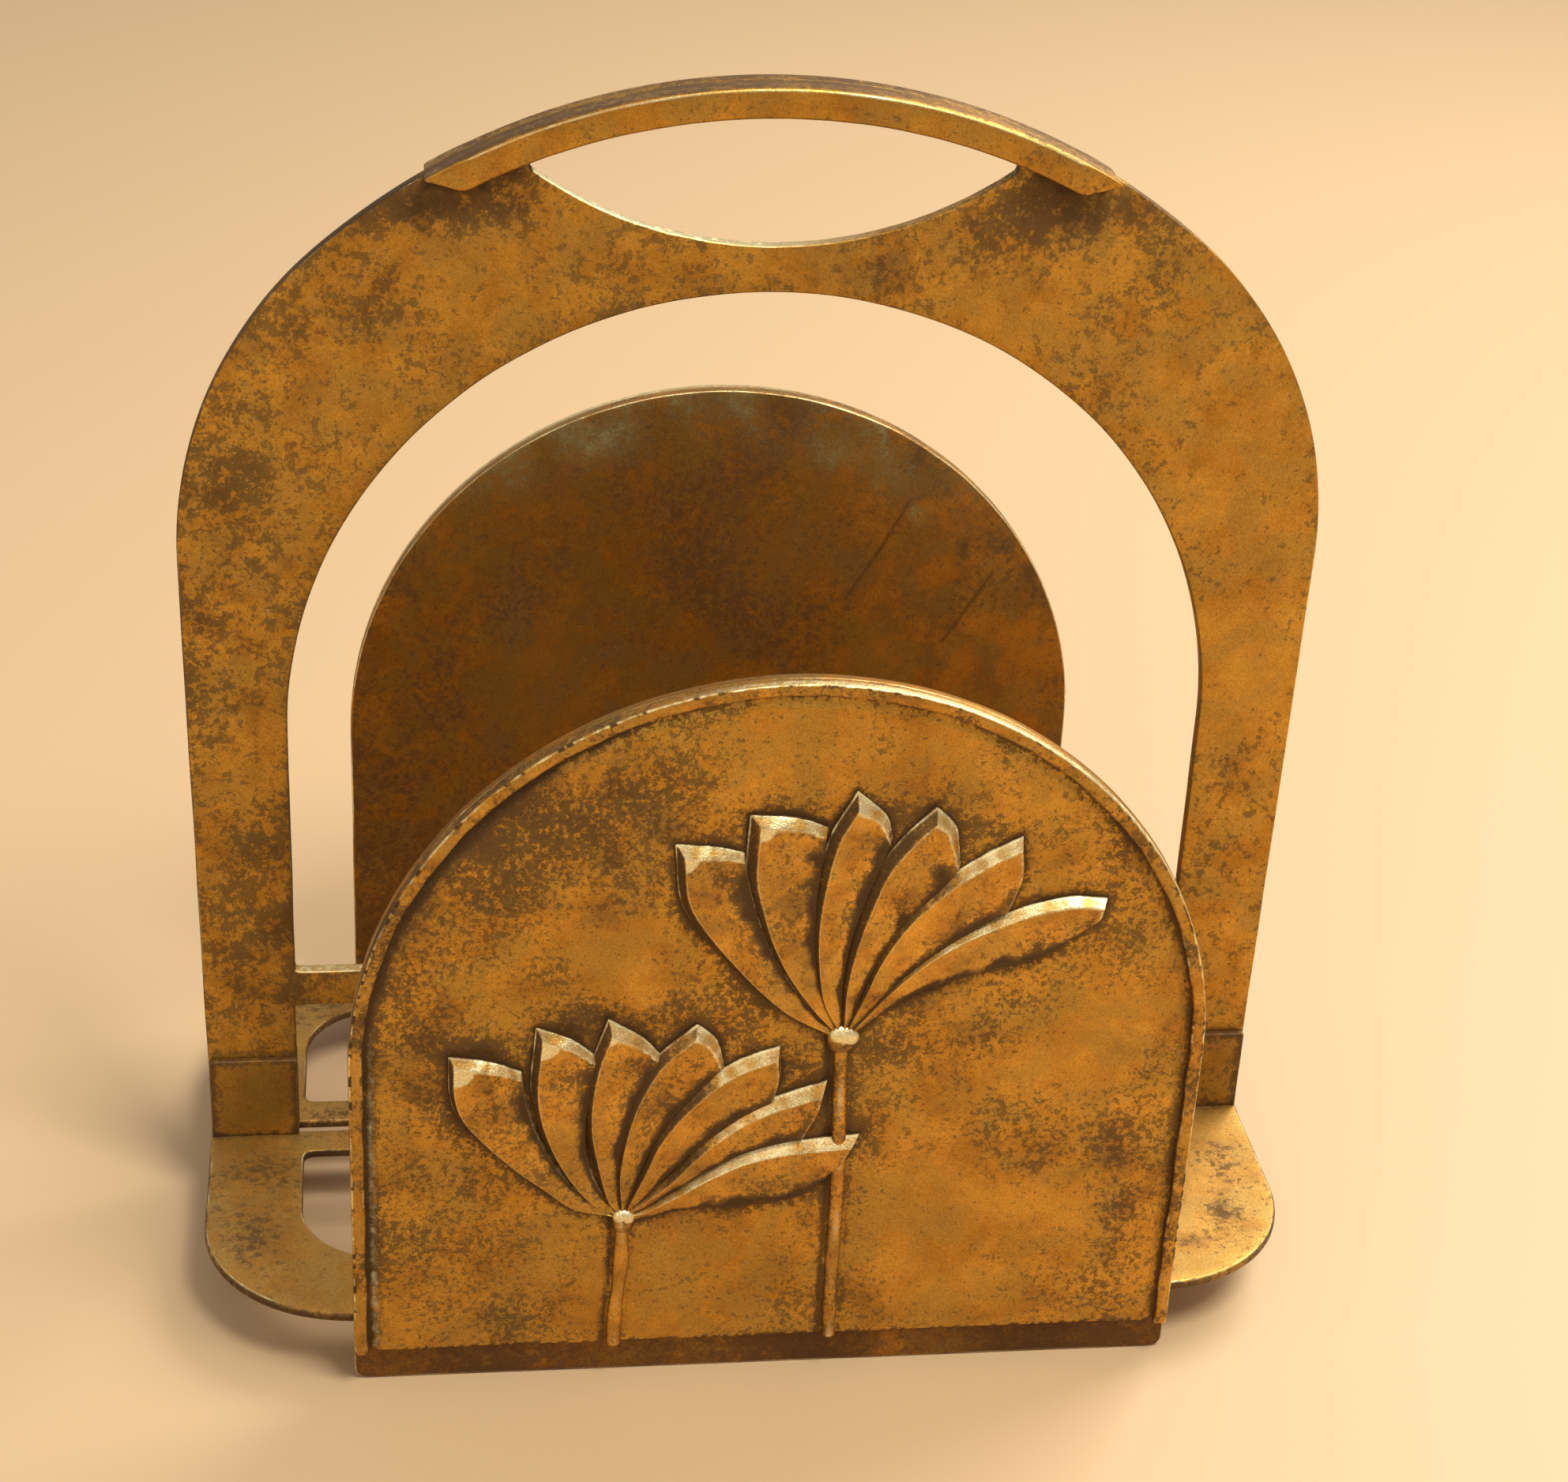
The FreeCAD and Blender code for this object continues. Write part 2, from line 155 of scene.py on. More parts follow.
class Outline:
    """A closed outline in a plane, drawn run by run and then smoothed like a filed edge."""

    def __init__(self, start: tuple[float, float]) -> None:
        """Begin at a point."""
        self.points = [np.array([start], float)]

    @property
    def here(self) -> np.ndarray:
        """Where the pen is."""
        return self.points[-1][-1]

    def line(self, *ends: tuple[float, float]) -> "Outline":
        """Draw straight runs to each point in turn.

        Args:
            ends: the corners.
        Returns:
            This outline.
        """
        for end in ends:
            self.points.append(np.array([end], float))
        return self

    def arc(self, centre: tuple[float, float], degrees: float) -> "Outline":
        """Turn about a centre: the pen's offset from it is rotated step by step.

        Args:
            centre: the arc's centre.
            degrees: how far to turn, anticlockwise when positive.
        Returns:
            This outline.
        """
        steps = max(int(abs(degrees) / 1.5), 4)
        angle = np.radians(np.linspace(0.0, degrees, steps + 1)[1:])
        x, y = self.here - centre
        self.points.append(np.stack([centre[0] + x * np.cos(angle) - y * np.sin(angle),
                                     centre[1] + x * np.sin(angle) + y * np.cos(angle)], 1))
        return self

    def fillet_to(self, corner: tuple[float, float], beyond: tuple[float, float],
                  radius: float) -> "Outline":
        """Run towards a corner and round it with an arc tangent to both of its sides.

        Args:
            corner: the corner that is rounded.
            beyond: any point on the side after it.
            radius: the rounding.
        Returns:
            This outline.
        """
        corner_at, start = np.array(corner, float), self.here
        before = (start - corner_at) / np.linalg.norm(start - corner_at)
        after = np.array(beyond, float) - corner_at
        after /= np.linalg.norm(after)
        half = math.acos(np.clip(before @ after, -1.0, 1.0)) / 2.0
        bisector = (before + after) / np.linalg.norm(before + after)
        centre = corner_at + bisector * radius / math.sin(half)
        first = corner_at + before * radius / math.tan(half)
        turn = 180.0 - 2.0 * math.degrees(half)
        if before[0] * after[1] - before[1] * after[0] > 0.0:
            turn = -turn
        self.points.append(first[None])
        return self.arc((centre[0], centre[1]), turn)

    def filed(self, step: float, soften: float, wobble: float, seed: int) -> np.ndarray:
        """The finished loop: evenly spaced, corners softened, edge slightly uneven.

        The loop is read as complex numbers and its high frequencies are faded by a
        bell curve; the wobble is a few low harmonics along the normal.

        Args:
            step: spacing of the points.
            soften: how far corners are smoothed along the edge.
            wobble: greatest unevenness, always into the metal.
            seed: picks the unevenness.
        Returns:
            The loop, anticlockwise, one point per row.
        """
        raw = np.vstack(self.points)
        loop = np.vstack([raw, raw[:1]])
        length = np.linalg.norm(np.diff(loop, axis=0), axis=1).sum()
        count = int(length / step)
        even = respaced(loop, count + 1)[:-1]
        z = even[:, 0] + 1j * even[:, 1]
        if np.sum(even[:, 0] * np.roll(even[:, 1], -1) - even[:, 1] * np.roll(even[:, 0], -1)) < 0:
            z = z[::-1]
        wave = np.fft.fftfreq(count, length / count) * 2.0 * math.pi
        z = np.fft.ifft(np.fft.fft(z) * np.exp(-0.5 * (wave * soften) ** 2))
        rng = np.random.default_rng(seed)
        harmonic = np.arange(3, 42)
        turn = np.linspace(0.0, 2.0 * math.pi, count, endpoint=False)
        sway = (rng.normal(size=39) / harmonic ** 0.6) @ np.cos(
            harmonic[:, None] * turn + rng.uniform(0, 2 * math.pi, (39, 1)))
        sway = wobble * (sway - sway.min()) / (sway.max() - sway.min())
        out = np.stack([z.real, z.imag], 1)
        return out + left_normals(out) * sway[:, None]


def left_normals(loop: np.ndarray) -> np.ndarray:
    """Unit normals of a closed loop, pointing to the left of its direction."""
    along = np.roll(loop, -1, 0) - np.roll(loop, 1, 0)
    along /= np.maximum(np.linalg.norm(along, axis=1, keepdims=True), 1e-9)
    return np.stack([-along[:, 1], along[:, 0]], 1)


def tightest_inset(loop: np.ndarray) -> np.ndarray:
    """How far each point may move to the left before the loop folds: most of its bend radius."""
    ahead = np.roll(loop, -1, 0) - loop
    behind = loop - np.roll(loop, 1, 0)
    turn = np.arctan2(behind[:, 0] * ahead[:, 1] - behind[:, 1] * ahead[:, 0], (ahead * behind).sum(1))
    bend = turn / (0.5 * np.linalg.norm(ahead, axis=1) + 0.5 * np.linalg.norm(behind, axis=1))
    limit = 0.6 / np.maximum(bend, 1e-3)
    return np.min([np.roll(limit, k) for k in range(-2, 3)], axis=0)


def inside(points: np.ndarray, loops: Sequence[np.ndarray]) -> np.ndarray:
    """Whether each point is in the metal: it crosses the loops an odd number of times.

    Args:
        points: places, one per row.
        loops: closed loops, the outer one and the holes.
    Returns:
        One truth value per place.
    """
    a = np.vstack(loops)
    b = np.vstack([np.roll(loop, -1, 0) for loop in loops])
    odd = np.zeros(len(points), bool)
    for part in np.array_split(np.arange(len(points)), max(len(points) // 2000, 1)):
        x, y = points[part, 0:1], points[part, 1:2]
        spans = (a[:, 1] > y) != (b[:, 1] > y)
        rise = np.where(b[:, 1] == a[:, 1], 1e-9, b[:, 1] - a[:, 1])
        odd[part] = (spans & (x < a[:, 0] + (y - a[:, 1]) * (b[:, 0] - a[:, 0]) / rise)).sum(1) % 2 == 1
    return odd


def distance_to(points: np.ndarray, marks: np.ndarray) -> np.ndarray:
    """The distance from each point to the nearest mark.

    Args:
        points: places, one per row.
        marks: the marks, one per row.
    Returns:
        One distance per place.
    """
    out = np.empty(len(points))
    for part in np.array_split(np.arange(len(points)), max(len(points) // 1500, 1)):
        gap = (points[part, None, :] - marks[None]) ** 2
        out[part] = np.sqrt(gap.sum(2).min(1))
    return out


def spots(points: np.ndarray, marks: Stains) -> np.ndarray:
    """Soft oval stains added together, each a bell curve.

    Args:
        points: places on the face, one per row.
        marks: for each stain its middle, its two half widths and its strength.
    Returns:
        The summed strength at each place.
    """
    m = np.asarray(marks, float)
    across = (points[:, None, 0] - m[:, 0]) / m[:, 2]
    upward = (points[:, None, 1] - m[:, 1]) / m[:, 3]
    return (m[:, 4] * np.exp(-across ** 2 - upward ** 2)).sum(1)


def bell(value: np.ndarray, middle: float, width: float) -> np.ndarray:
    """A bell curve: exp of minus the square of the distance from the middle over the width."""
    return np.exp(-((value - middle) / width) ** 2)


def painted(darkest: float = 1.0, **layers: np.ndarray) -> dict[str, np.ndarray]:
    """Clip a piece's per-point layers.

    Args:
        darkest: the most that soiling and painted shade may reach.
        layers: soiling with painted shade, wear with painted highlights, and green; one number per point.
    Returns:
        The same layers, soiling and painted shade from 0 to `darkest` and the others from 0 to 1.
    """
    return {name: np.clip(layer, 0.0, darkest if name == "grime" else 1.0)
            for name, layer in layers.items()}


# ---------------------------------------------------------------- shells and plates

Placing = Callable[[np.ndarray], np.ndarray]


class Shell:
    """Points, faces and per-point fields of one closed piece of metal."""

    def __init__(self) -> None:
        """Start empty."""
        self.points: list[np.ndarray] = []
        self.faces: list[np.ndarray] = []
        self.caps: list[list[int]] = []
        # One field darkens with soiling and painted shade, one brightens with wear and painted highlights.
        self.fields: dict[str, list[np.ndarray]] = {"grime": [], "worn": [], "green": [],
                                                    "along": [], "across": []}
        self.count = 0

    def add_points(self, points: np.ndarray, **fields: np.ndarray | float) -> int:
        """Add points with their fields.

        Args:
            points: places, one per row.
            fields: numbers per point, or one number for all.
        Returns:
            The index of the first new point.
        """
        first = self.count
        self.points.append(points)
        for name, parts in self.fields.items():
            parts.append(np.broadcast_to(np.asarray(fields.get(name, 0.0), float).ravel(),
                                         (len(points),)))
        self.count += len(points)
        return first

    def add_grid(self, grid: np.ndarray, looped: bool = False, **fields: np.ndarray | float
                 ) -> np.ndarray:
        """Add a grid of points joined by four-sided faces.

        Args:
            grid: rows by columns by three.
            looped: join the last column to the first.
            fields: numbers per point, rows by columns, or one number for all.
        Returns:
            The points' indices, rows by columns.
        """
        rows, columns = grid.shape[:2]
        first = self.add_points(grid.reshape(-1, 3), **fields)
        index = first + np.arange(rows * columns).reshape(rows, columns)
        a = np.hstack([index, index[:, :1]]) if looped else index
        quads = np.stack([a[:-1, :-1], a[:-1, 1:], a[1:, 1:], a[1:, :-1]], 2)
        self.faces.append(quads.reshape(-1, 4))
        return index

    def build(self, name: str, place: Placing, turn: Side, material: bpy.types.Material,
              sharp: float = 50.0) -> bpy.types.Object:
        """Make the Blender object: place the points, weld seams and turn faces outward.

        Args:
            name: the object's name.
            place: turns the shell's own coordinates into the rack's, in millimetres.
            turn: rear pieces are turned half a turn about the upright axis.
            material: the finish.
            sharp: edges steeper than this many degrees are drawn sharp.
        Returns:
            The new object.
        """
        places = place(np.vstack(self.points)) * MM
        places[:, 2] = np.maximum(places[:, 2], 0.0)
        if turn is Side.REAR:
            places[:, :2] *= -1.0
        mesh = bpy.data.meshes.new(name)
        faces = [face for block in self.faces for face in block.tolist()] + self.caps
        mesh.from_pydata(places.tolist(), [], faces)
        for label, parts in self.fields.items():
            layer = mesh.attributes.new(label, "FLOAT", "POINT")
            layer.data.foreach_set("value", np.concatenate(parts).astype(np.float32))
        work = bmesh.new()
        work.from_mesh(mesh)
        bmesh.ops.remove_doubles(work, verts=work.verts, dist=SEAM)
        bmesh.ops.recalc_face_normals(work, faces=work.faces)
        work.to_mesh(mesh)
        work.free()
        mesh.polygons.foreach_set("use_smooth", np.ones(len(mesh.polygons), bool))
        mesh.set_sharp_from_angle(angle=math.radians(sharp))
        mesh.materials.append(material)
        piece = bpy.data.objects.new(name, mesh)
        bpy.context.scene.collection.objects.link(piece)
        return piece


@dataclass
class Plate:
    """A flat plate with softened edges, in its own plane: across, up, and depth."""

    outer: np.ndarray
    holes: list[np.ndarray]
    thickness: float
    rounding: float | np.ndarray = 0.8
    back_rounding: float | np.ndarray = 0.8
    step: float = 3.2
    unevenness: float = 0.12
    seed: int = 1
    hole_rounding: float = 0.8

    def shell(self, paint: Callable[[np.ndarray, np.ndarray, np.ndarray], dict[str, np.ndarray]]
              ) -> Shell:
        """Carry a rounded edge along every loop and fill the two faces between them.

        The edge is a quarter circle from the face to the wall, the wall, and a quarter
        circle to the back. The faces are filled with jittered points. Both faces are
        let in by soft waves.

        Args:
            paint: gives the fields from places, distances to the edge, and wall share.
        Returns:
            The closed shell, depth 0 at the face and minus the thickness at the back.
        """
        shell = Shell()
        loops = [self.outer] + [hole[::-1] for hole in self.holes]
        quarter = np.radians(np.array([0.0, 20.0, 42.0, 65.0, 90.0]))
        every_edge = np.vstack(loops)
        front, back, rings = [], [], []
        for loop in loops:
            normal = left_normals(loop)
            tight = tightest_inset(loop)
            front_round, back_round = self.hole_rounding, self.hole_rounding
            if loop is loops[0]:
                front_round, back_round = self.rounding, self.back_rounding
            radius = np.vstack([np.tile(np.minimum(front_round, tight), (5, 1)),
                                np.zeros((1, len(loop))),
                                np.tile(np.minimum(back_round, tight), (5, 1))])
            angle = np.concatenate([quarter, [math.pi / 2], quarter[::-1]])[:, None]
            inset = radius * (1.0 - np.sin(angle))
            depth = radius * (1.0 - np.cos(angle))
            depth[5] = self.thickness / 2.0
            depth[6:] = self.thickness - depth[6:]
            flat = loop[None] + normal[None] * inset[:, :, None]
            rings.append((flat, depth, inset, angle))
            front.append(flat[0])
            back.append(flat[-1])
        fill = self.fill_points(front)
        faces = self.fill_faces(front, fill)
        front_index, back_index = [], []
        for flat, depth, inset, angle in rings:
            wall = np.broadcast_to(np.sin(angle), depth.shape)
            grid = self.settled(flat, depth)
            fields = paint(flat.reshape(-1, 2), np.zeros(depth.size), wall.ravel())
            index = shell.add_grid(grid, looped=True, **fields)
            front_index.append(index[0])
            back_index.append(index[-1])
        away = distance_to(fill, every_edge)
        for depth_at, index in ((0.0, front_index), (self.thickness, back_index)):
            points = self.settled(fill, np.full(len(fill), depth_at))
            first = shell.add_points(points, **paint(fill, away, np.zeros(len(fill))))
            index.append(first + np.arange(len(fill)))
        for order, index in ((1, front_index), (-1, back_index)):
            shell.faces.append(np.concatenate(index)[faces][:, ::order])
        return shell

    def settled(self, flat: np.ndarray, depth: np.ndarray) -> np.ndarray:
        """Add the depth axis, with both faces let in by soft waves."""
        lift = self.unevenness * 0.25
        flat_rows = flat.reshape(-1, 2)
        front = lift * (2.0 + np.clip(ripple(flat_rows, 46.0, self.seed), -2, 2))
        back = lift * (2.0 + np.clip(ripple(flat_rows, 52.0, self.seed + 5), -2, 2))
        share = depth.ravel() / self.thickness
        let_in = front * (1.0 - share) + (self.thickness - back) * share
        return np.column_stack([flat_rows, -let_in]).reshape(*depth.shape, 3)

    def fill_points(self, loops: list[np.ndarray]) -> np.ndarray:
        """Jittered points inside the face, clear of its edges."""
        rng = np.random.default_rng(self.seed)
        low, high = loops[0].min(0), loops[0].max(0)
        x, y = np.meshgrid(np.arange(low[0], high[0], self.step),
                           np.arange(low[1], high[1], self.step))
        points = np.stack([x.ravel(), y.ravel()], 1)
        points += rng.uniform(-0.22, 0.22, points.shape) * self.step
        points = points[inside(points, loops)]
        return points[distance_to(points, np.vstack(loops)) > 0.55 * self.step]

    def fill_faces(self, loops: list[np.ndarray], fill: np.ndarray) -> np.ndarray:
        """Triangles that join the loops and the points between them."""
        edges, first = [], 0
        for loop in loops:
            index = first + np.arange(len(loop))
            edges += list(zip(index.tolist(), np.roll(index, -1).tolist()))
            first += len(loop)
        every = np.vstack(loops + [fill])
        found = delaunay_2d_cdt([Vector(p) for p in every.tolist()], edges, [], 0, 1e-7)
        triangles = np.array([face for face in found[2] if len(face) == 3])
        placed = np.array([tuple(v) for v in found[0]])
        if len(placed) != len(every):
            raise ValueError("a plate's outline crosses itself")
        return triangles[inside(placed[triangles].mean(1), loops)]


# ---------------------------------------------------------------- finishes

Colour = tuple[float, float, float]
FINE_GRAIN, PIT_GRAIN, TINT_GRAIN = 0.55, 1.3, 15.0    # sizes of the shared noises
SCRATCH_WIDTH, FRAYED_BY = 1.1, 4.0
BUMP_DEPTH = 0.35


class Value:
    """A node's output that is added and multiplied like a number."""

    def __init__(self, graph: "Graph", socket: bpy.types.NodeSocket) -> None:
        """Hold a socket and the graph it belongs to."""
        self.graph, self.socket = graph, socket

    def __add__(self, other: "Value | float") -> "Value":
        """The sum."""
        return self.graph.math("ADD", self, other)

    def __sub__(self, other: "Value | float") -> "Value":
        """The difference."""
        return self.graph.math("SUBTRACT", self, other)

    def __rsub__(self, other: float) -> "Value":
        """A number less this value."""
        return self.graph.math("SUBTRACT", other, self)

    def __mul__(self, other: "Value | float") -> "Value":
        """The product."""
        return self.graph.math("MULTIPLY", self, other)

    def at_least(self, other: "Value") -> "Value":
        """The larger of two values."""
        return self.graph.math("MAXIMUM", self, other)


class Graph:
    """A node tree under construction, with one short method per kind of step."""

    def __init__(self, name: str) -> None:
        """Start a material with an empty tree."""
        self.material = bpy.data.materials.new(name)
        self.material.use_nodes = True
        self.tree = self.material.node_tree
        self.tree.nodes.clear()

    def node(self, kind: str, **settings: object) -> bpy.types.Node:
        """Add a node and set its properties."""
        made = self.tree.nodes.new(kind)
        for key, value in settings.items():
            setattr(made, key, value)
        return made

    def put(self, socket: bpy.types.NodeSocket, value: object) -> None:
        """Link a socket or set it to a plain value."""
        value = value.socket if isinstance(value, Value) else value
        if isinstance(value, bpy.types.NodeSocket):
            self.tree.links.new(value, socket)
        elif isinstance(value, tuple) and len(value) == 3 and socket.type == "RGBA":
            socket.default_value = (*value, 1.0)
        else:
            socket.default_value = value

    def fed(self, kind: str, inputs: dict[str | int, object], output: str | int = 0,
            **settings: object) -> Value:
        """Add a node, feed its inputs and give one of its outputs.

        Args:
            kind: the node's type.
            inputs: what goes into each input, by name or number.
            output: which output is wanted.
            settings: the node's properties.
        Returns:
            The output.
        """
        made = self.node(kind, **settings)
        for key, value in inputs.items():
            self.put(made.inputs[key], value)
        return Value(self, made.outputs[output])

    def math(self, kind: str, a: object, b: object) -> Value:
        """One arithmetic step on two numbers."""
        return self.fed("ShaderNodeMath", {0: a, 1: b}, operation=kind)

    def vector(self, kind: str, inputs: dict[str | int, object], output: str | int = 0) -> Value:
        """One step on vectors."""
        return self.fed("ShaderNodeVectorMath", inputs, output, operation=kind)

    def field(self, name: str) -> Value:
        """One of the piece's own per-point numbers."""
        return self.fed("ShaderNodeAttribute", {}, "Fac", attribute_name=name)

    def grain(self, at: Value, size: float, detail: float = 3.0, rough: float = 0.55,
              bend: float = 0.0) -> Value:
        """Noise with features about `size` millimetres across, 0 to 1."""
        return self.fed("ShaderNodeTexNoise", {"Vector": at, "Scale": 1.0 / (size * MM), "Detail": detail,
                                               "Roughness": rough, "Distortion": bend}, "Fac")

    def step(self, value: Value, low: float, high: float, top: float = 1.0) -> Value:
        """A smooth rise from 0 at `low` to `top` at `high`."""
        return self.fed("ShaderNodeMapRange", {0: value, 1: low, 2: high, 4: top},
                        interpolation_type="SMOOTHSTEP")

    def mixed(self, share: object, a: object, b: object) -> Value:
        """Colour a turning into colour b."""
        return self.fed("ShaderNodeMix", {0: share, 6: a, 7: b}, 2, data_type="RGBA")

    def moved(self, at: Value, by: Colour) -> Value:
        """A pattern's coordinates, shifted."""
        return self.fed("ShaderNodeMapping", {"Vector": at, "Location": by})

    def scored(self, at: Value, mark: tuple[float, float, float, float], wander: Value) -> Value:
        """1 on a scratch between two places over X and Z, in millimetres.

        The place is projected on the scratch and held between its ends; the mark fades
        with the distance that is left, and its edge wanders with a noise.

        Args:
            at: object coordinates.
            mark: X and Z of both ends.
            wander: a noise that frays the scratch.
        Returns:
            The mark, 0 to 1.
        """
        start = Vector((mark[0], 0.0, mark[1])) * MM
        run = Vector((mark[2], 0.0, mark[3])) * MM - start
        flat = self.vector("MULTIPLY_ADD", {0: at, 1: (1.0, 0.0, 1.0), 2: -start})
        share = self.vector("DOT_PRODUCT", {0: flat, 1: run / run.length_squared}, "Value")
        held = self.fed("ShaderNodeMath", {0: share, 1: 0.0}, operation="ADD", use_clamp=True)
        foot = self.vector("SCALE", {0: run, "Scale": held})
        away = self.vector("DISTANCE", {0: flat, 1: foot}, "Value")
        frayed = away + (wander - 0.5) * (FRAYED_BY * MM)
        return 1.0 - self.step(frayed, 0.1 * MM, SCRATCH_WIDTH * MM)


@dataclass(frozen=True)
class AgedBrass:
    """Brass with a brown patina in specks and clouds, bright on its edges from wear; each piece's fields add
    soiling with painted shade and wear with painted highlights.
    """

    name: str
    gold: Colour = (0.570, 0.285, 0.042)
    deep_gold: Colour = (0.430, 0.200, 0.026)
    brown: Colour = (0.185, 0.085, 0.015)
    dark: Colour = (0.070, 0.034, 0.009)
    bright: Colour = (0.830, 0.710, 0.390)
    olive: Colour = (0.400, 0.245, 0.052)
    olive_share: float = 0.55
    # The brown that soiling and painted shade turn the metal to, going to `dark` where heavy.
    dark_brown: Colour = (0.125, 0.066, 0.019)
    verdigris: Colour = (0.350, 0.330, 0.150)
    speck_size: float = 3.0
    fleck_size: float = 3.2
    haze: float = 0.24             # how far the patina veils the clean metal
    speck_cover: float = 0.40      # share of the surface that specks may reach
    cluster_size: float = 34.0
    cloud_size: float = 18.0
    cloud_cover: float = 0.35
    darkening: float = 0.88             # how far soiling and painted shade hide the metal
    streaks: float = 0.0           # fine dark lines along a piece's own length
    grit: float = 0.35             # strength of the fine bump
    marks: tuple[tuple[float, float, float, float], ...] = ()    # dents as lines over X and Z
    gloss: float = 0.42            # roughness of clean metal
    dull: float = 0.62             # roughness of the patina
    metal: float = 0.90

    def material(self) -> bpy.types.Material:
        """Build the node tree.

        Specks are fine noise cut off at a level that coarse noise and the piece's
        soiling-and-shade field move up and down; clouds are middle noise; the edge wear with
        painted highlights, the soiling with painted shade and the verdigris follow the piece's
        own fields, broken up by noise.

        Returns:
            The finished material.
        """
        g = Graph(self.name)
        at = g.fed("ShaderNodeTexCoord", {}, "Object")
        grime, worn, green = g.field("grime"), g.field("worn"), g.field("green")
        cluster = g.grain(at, self.cluster_size)
        cloud = g.grain(g.moved(at, (0.31, 0.17, 0.53)), self.cloud_size, 6.0, 0.62, 0.4)
        speck = g.grain(g.moved(at, (0.71, 0.37, 0.13)), self.speck_size, 7.0, 0.74, 0.1)
        fine = g.grain(g.moved(at, (0.11, 0.57, 0.93)), FINE_GRAIN, 3.0, 0.6)
        pit = g.grain(g.moved(at, (0.43, 0.87, 0.29)), PIT_GRAIN, 2.0, 0.5)
        tint = g.grain(g.moved(at, (0.83, 0.29, 0.61)), TINT_GRAIN, 3.0, 0.55, 0.3)
        fleck = g.grain(g.moved(at, (0.19, 0.73, 0.47)), self.fleck_size, 4.0, 0.66, 0.1)

        dusk = g.step(cluster * 0.75 + grime * 0.50, 0.34, 0.80)
        lean = (cluster - 0.5) * 0.42 + grime * 0.20
        cover = (self.speck_cover - 0.5) * 0.4
        level = speck + lean + cover
        core = g.step(level, 0.600, 0.650).at_least(g.step(pit + lean * 0.5, 0.67, 0.71))
        core = core.at_least(g.step(fleck + lean + cover, 0.592, 0.622))
        specks = core * (dusk * 0.34 + 0.66)
        haze = g.step(level, 0.47, 0.63) * (dusk * 0.30 + self.haze)
        clouds = g.step(cloud + grime * 0.22, 0.74 - 0.4 * self.cloud_cover, 0.92 - 0.4 * self.cloud_cover)

        colour = g.mixed(g.step(cloud, 0.36, 0.66), self.gold, self.deep_gold)
        colour = g.mixed(g.step(tint, 0.43, 0.60, self.olive_share), colour, self.olive)
        colour = g.mixed(clouds * 0.50, colour, self.brown)
        colour = g.mixed(haze, colour, self.brown)
        colour = g.mixed(specks * 0.75, colour, self.dark)
        ragged = (speck - 0.5) * 1.1 + (pit - 0.5) * 0.6
        # Soiling and painted shade from the piece's field darken the colour to brown, then near black.
        darkening = g.step(grime + ragged, 0.15, 1.10) * self.darkening
        colour = g.mixed(darkening, colour, g.mixed(g.step(grime, 0.55, 0.95), self.dark_brown, self.dark))
        # Specks, clouds, soiling and painted shade make the metal duller, rougher and less metallic.
        dirt_and_shade = specks.at_least((clouds * 0.7).at_least(darkening))
        if self.streaks > 0.0:
            across, along = g.field("across") * MM, g.field("along") * (0.16 * MM)
            drawn = g.fed("ShaderNodeCombineXYZ", {0: across, 1: along})
            lines = g.step(g.grain(drawn, 1.5, 4.0, 0.6, 0.3), 0.56, 0.70, self.streaks)
            colour = g.mixed(lines, colour, self.brown)
            dirt_and_shade = dirt_and_shade.at_least(lines)
        for mark in self.marks:
            colour = g.mixed(g.scored(at, mark, speck) * 0.6, colour, self.dark)
        patch = g.step(green * 0.62 + (speck - 0.5) * 1.5, 0.25, 0.75)
        colour = g.mixed(patch * 0.50 + green * 0.22, colour, self.verdigris)
        # Wear and painted highlights from the piece's field turn the colour bright and glossier.
        rub_and_highlight = g.step(worn + (speck - 0.5) * 0.9, 0.25, 0.95)
        colour = g.mixed(rub_and_highlight, colour, self.bright)
        value = g.step(fine, 0.34, 0.66, 0.32) + 0.84
        colour = g.fed("ShaderNodeHueSaturation", {"Value": value, "Color": colour})

        height = fine * 0.55 + cloud * 0.55 + speck * 0.75 - dirt_and_shade * 0.55
        bump = g.fed("ShaderNodeBump", {"Strength": self.grit, "Distance": BUMP_DEPTH * MM, "Height": height})
        rough = g.fed("ShaderNodeMix", {0: dirt_and_shade, 2: self.gloss - rub_and_highlight * 0.10, 3: self.dull})
        shade = g.fed("ShaderNodeBsdfPrincipled", {"Base Color": colour, "Roughness": rough,
                                                   "Metallic": self.metal - dirt_and_shade * 0.30, "Normal": bump})
        g.put(g.node("ShaderNodeOutputMaterial").inputs["Surface"], shade)
        return g.material


ARCH_FINISH = AgedBrass("arch_aged_brass", gold=(0.590, 0.305, 0.045), speck_cover=0.50,
                        cluster_size=42.0, haze=0.10)
GRIP_FINISH = AgedBrass("grip_handled_brass", speck_cover=0.34, cloud_cover=0.25, grit=0.22, gloss=0.36)
LUG_FINISH = AgedBrass("lug_dull_brass", gold=(0.390, 0.215, 0.040), deep_gold=(0.290, 0.150, 0.026),
                       olive=(0.290, 0.190, 0.045), speck_cover=0.50, gloss=0.48)
BASE_FINISH = AgedBrass("base_dull_brass", gold=(0.520, 0.300, 0.070), deep_gold=(0.410, 0.215, 0.045),
                        brown=(0.210, 0.110, 0.030), olive=(0.420, 0.275, 0.080), speck_cover=0.40,
                        cloud_cover=0.34, gloss=0.50, grit=0.30)
BACK_FINISH = AgedBrass("back_plate_brown_brass", gold=(0.440, 0.190, 0.020),
                        deep_gold=(0.300, 0.122, 0.013), brown=(0.170, 0.072, 0.012),
                        dark=(0.090, 0.038, 0.009), olive=(0.250, 0.160, 0.034),
                        dark_brown=(0.150, 0.068, 0.013), speck_cover=0.36, cloud_cover=0.55, gloss=0.46,
                        grit=0.30, cluster_size=60.0,
                        marks=((64.4, 199.0, 55.0, 181.0), (55.0, 181.0, 44.0, 162.5),
                               (94.4, 171.5, 78.7, 146.0)))
